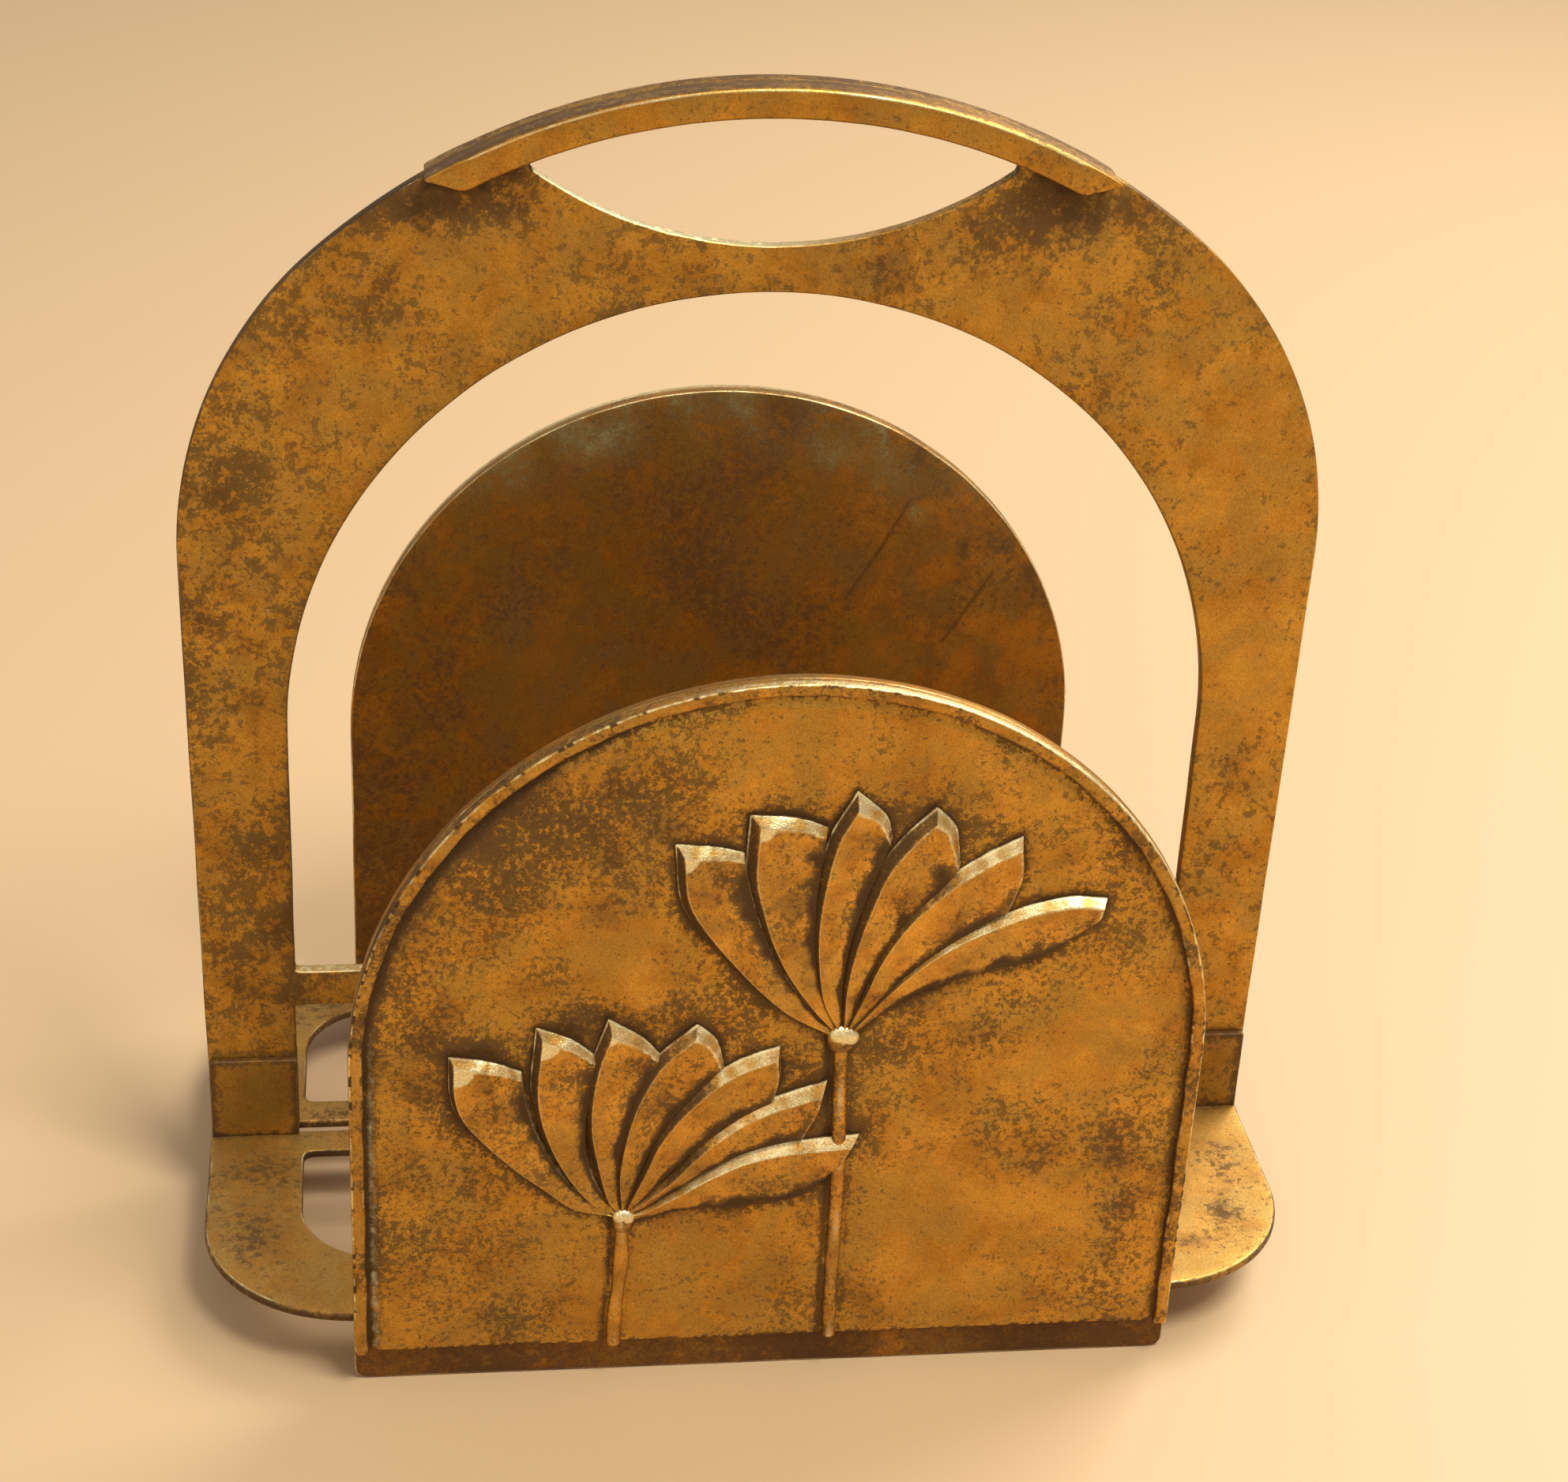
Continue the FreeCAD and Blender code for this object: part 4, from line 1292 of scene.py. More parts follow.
# A bevel's section from the face's edge to its skirt: reach, drop, wear with painted highlight, the tip's
# painted highlight, painted shade, and the least darkening.
BEVEL_OUT = steps(0.0, 0.07, 0.2, 0.45, 0.72, 0.9, 1.0, 1.0)
BEVEL_DOWN = steps(0.0, 0.035, 0.16, 0.42, 0.72, 0.92, 1.0, 1.0)
BEVEL_WEAR_AND_HIGHLIGHT = steps(1.0, 0.8, 0.66, 0.60, 0.62, 1.0, 0.5, 0.0)
TIP_HIGHLIGHT = steps(0.6, 0.0, 0.0, 0.0, 0.0, 1.0, 0.3, 0.0)
BEVEL_SHADE = steps(0.2, 0.6, 1.0, 1.0, 1.0, 0.8, 1.1, 1.2)
LEAST_GRIME = steps(0.0, 0.0, 0.0, 0.0, 0.0, 0.1, 0.9, 1.1)
LIT_SIDE = np.array([0.33, 0.944])      # bevels that face this way get a painted highlight, those facing away painted shade


@dataclass
class Petal:
    """One petal: its raised left crest, its end, its sunken right side and bevel widths."""

    crest: Pairs
    end: Pairs
    right: Pairs
    left_bevel: tuple[float, float] = (0.7, 2.7)
    end_bevel: tuple[float, float] = (3.2, 2.4)
    right_bevel: float = 0.5
    heights: tuple[float, float, float] = (1.5, 2.55, 1.3)    # by the calyx, on the crest, on the right
    facet: tuple[tuple[float, float], float] | None = None
    rows: int = 72
    columns: int = 22
    skirt: float = 1.1

    def sides(self) -> tuple[np.ndarray, np.ndarray, np.ndarray]:
        """The crest and right side from the calyx out, and the end from left to right."""
        crest = spline(self.crest, self.rows)
        right = spline(self.right, self.rows)[::-1]
        return crest, spline(self.end, self.columns), right

    def outer_sides(self) -> tuple[np.ndarray, np.ndarray, np.ndarray]:
        """The foot of the bevels: each side moved out by its width, mitred at corners."""
        crest, end, right = self.sides()
        wide = np.linspace(0.0, 1.0, self.rows)[:, None]
        grow = self.left_bevel[0] + (self.left_bevel[1] - self.left_bevel[0]) * smooth_step(wide, -0.1, 0.95)
        crest_out = crest + left_normals_open(crest) * grow
        share = np.linspace(0, 1, self.columns)[:, None]
        tips = self.end_bevel[0] + (self.end_bevel[1] - self.end_bevel[0]) * share
        end_out = end + left_normals_open(end) * tips
        right_out = right - left_normals_open(right) * self.right_bevel
        tip = meeting(crest_out[-3], crest_out[-2], end_out[1], end_out[2])
        shoulder = meeting(end_out[-3], end_out[-2], right_out[-2], right_out[-3])
        reach = self.left_bevel[1] + self.end_bevel[0]
        if np.linalg.norm(tip - crest[-1]) > 1.6 * reach:
            tip = crest[-1] + (tip - crest[-1]) * 1.6 * reach / np.linalg.norm(tip - crest[-1])
        if np.linalg.norm(shoulder - end[-1]) > 1.6 * (self.end_bevel[1] + self.right_bevel):
            shoulder = (end_out[-1] + right_out[-1]) / 2.0
        ease = smooth_step(np.linspace(0, 1, self.rows), 0.90, 1.0)[:, None]
        crest_out = crest_out + (tip - crest_out[-1]) * ease
        right_out = right_out + (shoulder - right_out[-1]) * ease
        end_out = end_out + (tip - end_out[0]) * (1 - smooth_step(share, 0, 0.35)) \
            + (shoulder - end_out[-1]) * smooth_step(share, 0.65, 1)
        return crest_out, end_out, right_out

    def outer_loop(self) -> np.ndarray:
        """The petal's footprint as one closed loop."""
        crest, end, right = self.outer_sides()
        return np.vstack([crest, end[1:-1], right[::-1]])

    def relief(self, face: np.ndarray, u: np.ndarray, v: np.ndarray, seed: int
               ) -> tuple[np.ndarray, np.ndarray]:
        """Height and wear of the face.

        The height falls from the crest to the right side with a light swell and is cut
        down towards a facet's corner, if the petal has one.

        Args:
            face: places on the face, rows by columns by two.
            u: how far out from the calyx, a column.
            v: how far across from the crest, a row.
            seed: picks the unevenness.
        Returns:
            Height above the ground and wear, rows by columns.
        """
        calyx, top, low = self.heights
        on_crest = calyx + (top - calyx) * smooth_step(u, 0.0, 0.45)
        on_right = calyx * 0.55 + (low - calyx * 0.55) * smooth_step(u, 0.0, 0.6)
        drop = smooth_step(v, 0.12, 1.05) * 0.75 + v * 0.25
        waves = ripple(face.reshape(-1, 2), 13.0, seed).reshape(face.shape[:2])
        rise = on_crest + (on_right - on_crest) * drop + 0.12 * np.sin(math.pi * v) * np.sin(math.pi * u)
        rise = rise - 0.10 * (1 + waves) * np.sin(math.pi * v)
        worn = np.maximum(0.55 * bell(v, 0.0, 0.035), 0.75 * bell(u, 1.0, 0.015) * (1 - 0.35 * v))
        if self.facet is not None:
            corner, reach = self.facet
            near = np.linalg.norm(face - np.array(corner), axis=2)
            cut = np.clip((reach - near) / reach, 0.0, 1.0)
            rise = rise - 0.45 * cut * reach * 0.35
            worn = np.maximum(worn, smooth_step(cut, 0.02, 0.2) * 0.95)
        return rise, worn

    def face_grime(self, face: np.ndarray, u: np.ndarray, v: np.ndarray, seed: int) -> np.ndarray:
        """Soiling and painted shade in the sunken right side, soiling in blotches, and darker close to the
        calyx.
        """
        blotch = ripple(face.reshape(-1, 2), 11.0, seed + 3).reshape(face.shape[:2])
        # The sunken right side by the crease: soiling and painted shade.
        grime = 0.95 * smooth_step(v + 0.07 * blotch, 0.66, 0.98) * (1 - 0.6 * smooth_step(u, 0.88, 1.0))
        grime = grime + (0.12 + 0.30 * np.clip(blotch - 0.1, 0.0, 1.0)) * smooth_step(v, 0.1, 0.6)
        return np.maximum(grime, 0.5 * (1 - smooth_step(u, 0.02, 0.22)) * smooth_step(v, 0.3, 1.0))

    def add_to(self, shell: Shell, base: float, seed: int) -> None:
        """Add the petal: a Coons patch for the face, bevels all round, and its underside.

        The bevel runs from the face's edge to the footprint and dives into the ground
        as a skirt.

        Args:
            shell: the flower's shell.
            base: depth of the ground.
            seed: picks the face's unevenness.
        """
        crest, end, right = self.sides()
        u = np.linspace(0.0, 1.0, self.rows)[:, None]
        v = 0.5 - 0.5 * np.cos(np.linspace(0.0, math.pi, self.columns))[None]
        face = coons(crest, end, right, u, v)
        rise, worn = self.relief(face, u, v, seed)
        length = np.linalg.norm(np.diff(crest, axis=0), axis=1).sum()
        shift = {"along": seed * 31.0, "across": seed * 7.0}
        along, across = np.broadcast_arrays(u * length + shift["along"], v * length * 0.28 + shift["across"])
        shell.add_grid(np.dstack([face, base - rise]), grime=self.face_grime(face, u, v, seed), worn=worn,
                       along=along, across=across)

        inner = np.vstack([face[:, 0], face[-1, 1:-1], face[::-1, -1]])
        high = np.concatenate([rise[:, 0], rise[-1, 1:-1], rise[::-1, -1]])
        flat = inner + (self.outer_loop() - inner) * BEVEL_OUT[:, :, None]
        deep = high * (1.0 - BEVEL_DOWN)
        deep[-1] = -self.skirt
        run = np.concatenate([u[:, 0], np.ones(self.columns - 2), u[::-1, 0]])
        facing = np.vstack([left_normals_open(crest), left_normals_open(end)[1:-1],
                            -left_normals_open(right)[::-1]])
        bevel = self.bevel_layers(facing @ LIT_SIDE, run, 0.85 + 0.35 * ripple(inner, 6.0, seed + 9))
        ring = shell.add_grid(np.dstack([flat, base - deep]), looped=True, **bevel, **shift)
        shell.caps.append(ring[-1].tolist())

    def bevel_layers(self, toward: np.ndarray, run: np.ndarray, flicker: np.ndarray
                     ) -> dict[str, np.ndarray]:
        """Wear with painted highlights, and soiling with painted shade, down the bevel at each point of the
        face's edge.

        Args:
            toward: how far the edge faces the lit side, -1 to 1.
            run: how far out from the calyx it is, 0 to 1.
            flicker: unevenness of the wear.
        Returns:
            The layers, steps down by points round.
        """
        side = np.repeat([0, 1, 2], [self.rows, self.columns - 2, self.rows])
        # Bevels facing the light get a painted highlight, those facing away painted shade.
        up = smooth_step(toward, 0.30, 0.66)
        worn = (0.12 + 0.88 * up * flicker) * BEVEL_WEAR_AND_HIGHLIGHT
        # Painted highlight on the bevels near the tips.
        worn = np.maximum(worn, 0.8 * smooth_step(run, 0.62, 0.85) * flicker * (side < 2) * TIP_HIGHLIGHT)
        worn = worn * (0.55 + 0.45 * smooth_step(run, 0.0, 0.2))
        grime = np.maximum((0.85 - 0.85 * up) * BEVEL_SHADE, LEAST_GRIME)
        # The right side's bevel, down in the crease, gets painted shade.
        return {"worn": worn, "grime": np.maximum(grime, 0.5 * (side == 2))}


def meeting(a: np.ndarray, b: np.ndarray, c: np.ndarray, d: np.ndarray) -> np.ndarray:
    """Where the line through a and b meets the line through c and d."""
    one, two = b - a, d - c
    cross = one[0] * two[1] - one[1] * two[0]
    if abs(cross) < 1e-6:
        return (b + c) / 2.0
    t = ((c[0] - a[0]) * two[1] - (c[1] - a[1]) * two[0]) / cross
    return a + one * t


def coons(left: np.ndarray, end: np.ndarray, right: np.ndarray, u: np.ndarray, v: np.ndarray) -> np.ndarray:
    """A patch between four sides: the two ruled blends added, less the corners' blend.

    Args:
        left: the side at v = 0, from u = 0 to 1.
        end: the side at u = 1, from v = 0 to 1.
        right: the side at v = 1.
        u: rows, a column array.
        v: columns, a row array.
    Returns:
        Rows by columns by two.
    """
    count = len(end)
    at = np.interp(v[0], np.linspace(0, 1, count), np.arange(count))
    low = np.floor(at).astype(int).clip(0, count - 2)
    end_v = end[low] + (end[low + 1] - end[low]) * (at - low)[:, None]
    start_v = left[0] + (right[0] - left[0]) * v[0][:, None]
    uu, vv = u[:, :, None], v[:, :, None]
    ruled = (1 - vv) * left[:, None] + vv * right[:, None]
    other = (1 - uu) * start_v[None] + uu * end_v[None]
    near_edge = (1 - vv) * left[0] + vv * right[0]
    far_edge = (1 - vv) * left[-1] + vv * right[-1]
    return ruled + other - ((1 - uu) * near_edge + uu * far_edge)


@dataclass
class Flower:
    """One lotus: its petals, calyx and stem."""

    name: str
    calyx: tuple[float, float]
    foot: float
    petals: list[Petal]
    calyx_radius: float = 4.9
    drop: float = 0.0
    stem_width: float = 4.4
    stem_rise: float = 1.75


UPPER_LOTUS = Flower("upper_lotus", (17.2, 121.0), 19.3, [
    Petal([(14.5, 122.3), (2.4, 129.6), (-5.9, 137.2), (-15.0, 147.8), (-24.1, 160.0), (-29.2, 170.0),
           (-30.7, 183.6)],
          [(-30.7, 183.6), (-22.0, 183.4), (-14.0, 182.0)],
          [(-14.0, 182.0), (-11.3, 170.0), (-8.3, 160.0), (-4.2, 150.0), (1.5, 140.0), (8.0, 131.0),
           (15.5, 122.5)],
          (0.6, 2.5), (3.6, 2.3), facet=((-30.7, 183.6), 4.6)),
    Petal([(15.4, 123.0), (8.2, 131.7), (0.9, 143.0), (-4.4, 154.4), (-8.2, 166.5), (-10.4, 178.0),
           (-10.0, 193.0)],
          [(-10.0, 193.0), (0.0, 192.2), (8.6, 189.2)],
          [(8.6, 189.2), (7.6, 178.0), (7.0, 168.0), (7.2, 157.0), (8.6, 146.0), (11.2, 135.0),
           (15.8, 123.0)],
          (0.7, 3.2), (3.2, 2.8), facet=((-10.0, 193.0), 4.8)),
    Petal([(16.2, 123.5), (11.4, 133.0), (9.2, 143.8), (8.2, 157.0), (9.0, 170.0), (12.0, 187.0),
           (17.0, 197.8)],
          [(17.0, 197.8), (23.2, 194.0), (26.8, 187.0)],
          [(26.8, 187.0), (24.6, 180.0), (21.6, 170.5), (18.6, 160.0), (16.6, 149.0), (15.9, 137.0),
           (16.6, 123.5)],
          (0.8, 3.0), (4.2, 1.0), 0.6),
    Petal([(17.3, 124.0), (17.4, 139.0), (19.6, 153.5), (22.8, 165.5), (27.0, 177.5), (33.4, 187.0),
           (39.3, 193.3)],
          [(39.3, 193.3), (42.8, 190.4), (45.0, 184.0), (46.6, 178.0)],
          [(46.6, 178.0), (42.6, 172.0), (36.0, 164.0), (30.0, 155.5), (25.5, 147.0), (21.5, 136.5),
           (18.2, 123.5)],
          (0.8, 3.4), (3.6, 0.8), 0.6),
    Petal([(18.2, 123.8), (22.9, 136.4), (25.9, 145.4), (29.9, 153.9), (34.4, 160.8), (40.5, 167.5),
           (48.0, 174.3), (57.0, 180.3), (64.4, 184.2)],
          [(64.4, 184.2), (65.2, 176.0), (64.0, 170.0), (62.0, 163.5)],
          [(62.0, 163.5), (52.0, 157.6), (43.5, 151.2), (36.5, 144.6), (29.5, 136.0), (23.5, 128.5),
           (19.2, 122.8)],
          (0.8, 3.2), (0.7, 0.5), 0.6, (1.5, 2.55, 1.5)),
    Petal([(19.2, 123.2), (28.2, 134.9), (34.2, 141.7), (41.8, 148.6), (50.9, 154.6), (62.3, 160.0),
           (70.0, 162.8), (80.5, 164.9), (89.7, 164.2)],
          [(89.7, 164.2), (88.6, 160.5), (83.0, 155.8)],
          [(83.0, 155.8), (76.0, 150.2), (66.5, 146.2), (58.5, 144.6), (49.4, 141.5), (39.5, 138.1),
           (32.0, 133.2), (24.4, 126.4), (19.6, 121.8)],
          (0.8, 2.7), (0.8, 0.7), 0.9, (1.5, 2.55, 1.9)),
])

LOWER_LOTUS = Flower("lower_lotus", (-45.0, 59.0), -46.8, [
    Petal([(-48.0, 60.3), (-59.6, 63.6), (-68.7, 71.6), (-77.0, 79.2), (-86.1, 89.0), (-92.0, 97.2),
           (-94.4, 105.0), (-94.7, 115.0)],
          [(-94.7, 115.0), (-85.0, 113.6), (-75.4, 110.0)],
          [(-75.4, 110.0), (-73.6, 100.0), (-70.6, 90.0), (-66.0, 80.0), (-60.5, 71.5), (-54.0, 65.5),
           (-47.0, 60.0)],
          (0.8, 1.6), (2.9, 2.2), facet=((-94.7, 115.0), 7.0)),
    Petal([(-47.2, 61.0), (-53.2, 64.0), (-59.6, 72.3), (-65.6, 84.0), (-69.4, 96.0), (-70.6, 107.0),
           (-69.4, 123.4)],
          [(-69.4, 123.4), (-62.0, 120.6), (-54.3, 114.9)],
          [(-54.3, 114.9), (-55.8, 104.0), (-56.8, 93.0), (-56.2, 82.0), (-53.0, 71.0), (-46.6, 61.0)],
          (0.8, 2.4), (3.1, 1.9), facet=((-69.4, 123.4), 6.4)),
    Petal([(-46.3, 61.5), (-49.6, 66.0), (-52.8, 79.4), (-54.7, 91.0), (-54.7, 102.0), (-53.0, 113.8),
           (-49.7, 124.4)],
          [(-49.7, 124.4), (-42.2, 120.8), (-36.1, 115.2)],
          [(-36.1, 115.2), (-39.8, 106.0), (-43.3, 96.0), (-45.8, 86.0), (-46.9, 75.0), (-45.6, 61.5)],
          (0.8, 2.8), (4.0, 1.6), facet=((-49.7, 124.4), 2.6)),
    Petal([(-45.4, 61.5), (-46.2, 73.6), (-45.1, 85.0), (-42.8, 96.3), (-39.0, 106.4), (-34.2, 114.9),
           (-25.6, 123.0)],
          [(-25.6, 123.0), (-21.8, 120.6), (-19.0, 115.2), (-17.8, 111.8)],
          [(-17.8, 111.8), (-23.8, 105.0), (-30.2, 97.0), (-35.6, 88.0), (-40.0, 77.5), (-44.4, 61.5)],
          (0.8, 3.0), (3.6, 0.9), 0.6),
    Petal([(-44.4, 61.2), (-38.6, 76.0), (-35.3, 85.2), (-30.8, 92.8), (-26.0, 98.9), (-18.6, 106.4),
           (-10.3, 111.7), (-1.5, 115.0)],
          [(-1.5, 115.0), (-1.0, 107.7), (-2.4, 99.8)],
          [(-2.4, 99.8), (-10.0, 95.6), (-17.0, 90.3), (-24.0, 84.0), (-31.0, 76.0), (-38.0, 67.0),
           (-43.8, 60.5)],
          (0.7, 3.6), (0.9, 0.6), 0.6, (1.5, 2.55, 1.4)),
    Petal([(-43.8, 60.8), (-37.2, 66.2), (-30.8, 72.4), (-24.7, 79.9), (-18.6, 86.0), (-11.0, 92.0),
           (-2.8, 96.5), (4.1, 99.0), (12.0, 101.7)],
          [(12.0, 101.7), (10.9, 95.6), (7.1, 86.4)],
          [(7.1, 86.4), (-4.5, 83.6), (-12.5, 80.4), (-20.5, 75.6), (-28.5, 70.0), (-36.0, 64.5),
           (-43.2, 59.6)],
          (0.7, 3.9), (0.9, 0.6), 0.6, (1.5, 2.55, 1.4)),
    Petal([(-43.2, 60.0), (-38.2, 61.4), (-30.0, 66.3), (-22.5, 71.5), (-14.8, 76.0), (-7.2, 79.2),
           (4.1, 81.6), (12.0, 82.2), (21.6, 83.0)],
          [(21.6, 83.0), (19.4, 77.6), (17.2, 75.0)],
          [(17.2, 75.0), (10.4, 67.8), (3.6, 64.8), (-7.3, 63.5), (-12.6, 62.7), (-26.2, 61.9),
           (-37.6, 58.9), (-43.2, 58.0)],
          (0.7, 3.4), (1.0, 0.7), 0.9, (1.5, 2.55, 1.8)),
], 3.6, 0.65)


CHASED: Stains = ((-84, 120, 10, 6, 0.9), (-62, 129, 12, 7, 1.0), (-38, 131, 16, 8, 1.0),
                  (-12, 124, 10, 7, 0.6), (6, 112, 7, 7, 0.8), (-2, 196, 14, 8, 0.5),
                  (30, 198, 12, 7, 0.6), (58, 192, 12, 6, 0.5))
GROUND_DARK: Stains = (
    (-100, 60, 16, 50, 0.16), (-70, 185, 30, 22, 0.42), (-40, 205, 30, 12, 0.35), (-75, 22, 26, 10, 0.18),
    (-58, 40, 7, 22, 0.25), (45, 135, 30, 16, 0.30), (105, 45, 10, 30, 0.35), (60, 118, 26, 8, 0.35),
    (-20, 150, 30, 14, 0.2), (90, 185, 22, 22, 0.25), (-104, 120, 10, 40, 0.3), (-62, 190, 46, 34, 0.16),
    (98, 72, 14, 40, 0.35), (62, 92, 30, 20, 0.20), (60, 24, 40, 14, 0.2))
GROUND_PALE: Stains = ((-14, 34, 24, 18, 0.55), (72, 45, 30, 30, 0.40), (-60, 150, 24, 18, 0.25),
                       (70, 200, 14, 10, 0.3), (0, 214, 50, 10, 0.35), (95, 120, 14, 24, 0.25))


@dataclass
class Reliefs:
    """The cast ground of each panel and its two lotus flowers."""

    panel: SidePanel
    flowers: tuple[Flower, ...] = (UPPER_LOTUS, LOWER_LOTUS)
    ground_columns: int = 209
    straight_rows: int = 88
    arc_rows: int = 128
    edge_gap: float = 0.15

    def depth(self) -> float:
        """Depth of the ground's face in the panel's own axes."""
        return -self.panel.plate_thickness - self.panel.ground_rise

    def ground_grid(self, seed: int) -> np.ndarray:
        """Rows from the lower edge to the crown, each as wide as the outline there."""
        p = self.panel
        half = p.half - p.rim_width - self.edge_gap + 0.35
        turn = np.linspace(0.0, math.pi / 2, self.arc_rows)[1:]
        rows = np.concatenate([np.linspace(p.rim_bottom, p.spring, self.straight_rows),
                               p.spring + half * np.sin(turn)])
        width = np.concatenate([np.full(self.straight_rows, half), half * np.cos(turn)])
        x = width[:, None] * np.linspace(-1.0, 1.0, self.ground_columns)
        h = np.repeat(rows[:, None], self.ground_columns, 1)
        sag = 0.35 * ripple(np.column_stack([x[0], h[0]]), 40.0, seed) - 0.3
        h[0] += np.maximum(sag, 0.0) + 0.15
        return np.stack([x, h], 2)

    def footprint_distance(self, at: np.ndarray) -> tuple[np.ndarray, np.ndarray]:
        """Distance outside the petals, and distance beside the stems with its side.

        Args:
            at: places on the ground.
        Returns:
            Distance to the petals (0 under them), and signed distance to the stems.
        """
        near = np.full(len(at), 1e3)
        stem = np.full(len(at), 1e3)
        for flower in self.flowers:
            for petal in flower.petals:
                loop = petal.outer_loop()
                away = distance_to(at, loop)
                away[inside(at, [loop])] = 0.0
                near = np.minimum(near, away)
            line = self.stem_line(flower)
            middle = np.interp(at[:, 1], line[::-1, 1], line[::-1, 0])
            side = np.where(at[:, 1] < flower.calyx[1], at[:, 0] - middle, 1e3)
            stem = np.where(np.abs(side) < np.abs(stem), side, stem)
        return near, stem

    def stem_line(self, flower: Flower) -> np.ndarray:
        """The stem's middle line from calyx to lower edge, very slightly crooked."""
        h = np.linspace(flower.calyx[1] - 1.0, self.panel.rim_bottom - 0.4, 90)
        share = (flower.calyx[1] - h) / (flower.calyx[1] - self.panel.rim_bottom)
        x = flower.calyx[0] + (flower.foot - flower.calyx[0]) * share
        x = x + 0.35 * np.sin(share * 7.0 + flower.calyx[0])
        return np.stack([x, h], 1)

    def ground(self, seed: int) -> Shell:
        """The ground: a height over the outline, sunk round the design and by the rim.

        Height is soft casting waves, plus chased roughness above the lower flower,
        less a moat that fades with distance from the petals and stems, less a gritty
        groove inside the rim on the left, plus a cove that climbs to it on the right.

        Args:
            seed: picks the unevenness.
        Returns:
            The closed shell.
        """
        p = self.panel
        grid = self.ground_grid(seed)
        at = grid.reshape(-1, 2)
        radius = np.where(at[:, 1] > p.spring, np.hypot(at[:, 0], at[:, 1] - p.spring), np.abs(at[:, 0]))
        from_rim = p.half - p.rim_width - radius
        near, stem = self.footprint_distance(at)
        rough = ripple(at, 3.4, seed + 1, 24) + 0.8 * ripple(at, 6.5, seed + 2, 16)
        chased = np.clip(spots(at, CHASED), 0, 1)
        left = smooth_step(-at[:, 0], 10.0, 90.0)
        lift = 0.16 * ripple(at, 34.0, seed + 3) + 0.05 * ripple(at, 9.0, seed + 4, 14)
        lift += 0.05 * rough * (0.4 + 0.6 * left) + chased * (0.16 * rough - 0.15)
        lift -= 0.55 * bell(near, 0.0, 2.6)
        lift -= 0.55 * bell(stem, -3.2, 1.5) + 0.30 * bell(stem, 3.0, 1.1)
        lift -= (0.45 + 0.40 * left) * bell(from_rim, 1.2, 1.5) * (1 + 0.35 * rough * left)
        lift += (1 - left) * 0.35 * bell(from_rim, 4.4, 1.5)
        depth = self.depth() - np.clip(lift, -1.2, 1.6)
        # Darker round the petals: a moat of patina and painted shade.
        grime = 0.62 * np.exp(-(near / 1.5) ** 1.2) + 0.32 * np.exp(-near / 7.0)
        # Painted shadow on the left of each stem, and a fainter dark line on its right.
        grime += 0.85 * bell(stem, -3.3, 1.3) + 0.4 * bell(stem, 3.0, 0.9)
        grime += 0.60 * chased + 0.95 * bell(from_rim, 0.0, 1.3 + 1.9 * left)
        grime += (0.12 + 0.18 * left) * np.exp(-from_rim / 14.0)
        grime += spots(at, GROUND_DARK) - spots(at, GROUND_PALE)
        grime *= 0.85 + 0.22 * ripple(at, 19.0, seed + 5)
        low = 1.0 - smooth_step(at[:, 1], 95.0, 165.0)
        rubbed = 0.12 + 0.36 * left * (0.25 + 0.75 * low)
        worn = bell(from_rim, 2.4, 1.7) * rubbed * (1.0 + 0.25 * rough)
        shape = grid.shape[:2]
        grime = np.clip(grime, 0.0, 1.15)
        full = np.dstack([grid, depth.reshape(shape)])
        shell = Shell()
        index = shell.add_grid(full, grime=grime.reshape(shape), worn=worn.reshape(shape))
        border = np.concatenate([index[0], index[1:, -1], index[1:, 0][::-1]])
        rim_points = full.reshape(-1, 3)[border]
        skirt = np.stack([rim_points, rim_points * [1, 1, 0] - [0, 0, p.plate_thickness - 0.05]])
        ring = shell.add_grid(skirt, looped=True, grime=0.8)
        shell.caps.append(ring[1].tolist())
        return shell

    def flower_shell(self, flower: Flower, seed: int) -> Shell:
        """Petals, calyx dome and stem ridge of one lotus.

        The calyx is half a flattened ball whose radius grows downward by `drop`; the
        stem carries half an oval along its middle line.

        Args:
            flower: which lotus.
            seed: picks the unevenness.
        Returns:
            The shells of all of them together.
        """
        shell = Shell()
        base = self.depth()
        for number, petal in enumerate(flower.petals):
            petal.add_to(shell, base, seed + number)
        turn = np.linspace(0.0, 2.0 * math.pi, 40, endpoint=False)[None]
        climb = np.linspace(-0.5, math.pi / 2, 14)[:, None]
        radius = flower.calyx_radius * (1.0 + flower.drop * np.clip(-np.sin(turn), 0, 1) ** 5)
        radius = radius * (1.0 + 0.05 * np.sin(turn * 3 + 1.0)) * np.cos(np.clip(climb, 0, 2)) ** 0.8
        dome = np.broadcast_to(base - 2.55 * np.sin(climb), radius.shape)
        middle = flower.calyx
        bead = np.dstack([middle[0] + radius * np.cos(turn), middle[1] + radius * np.sin(turn), dome])
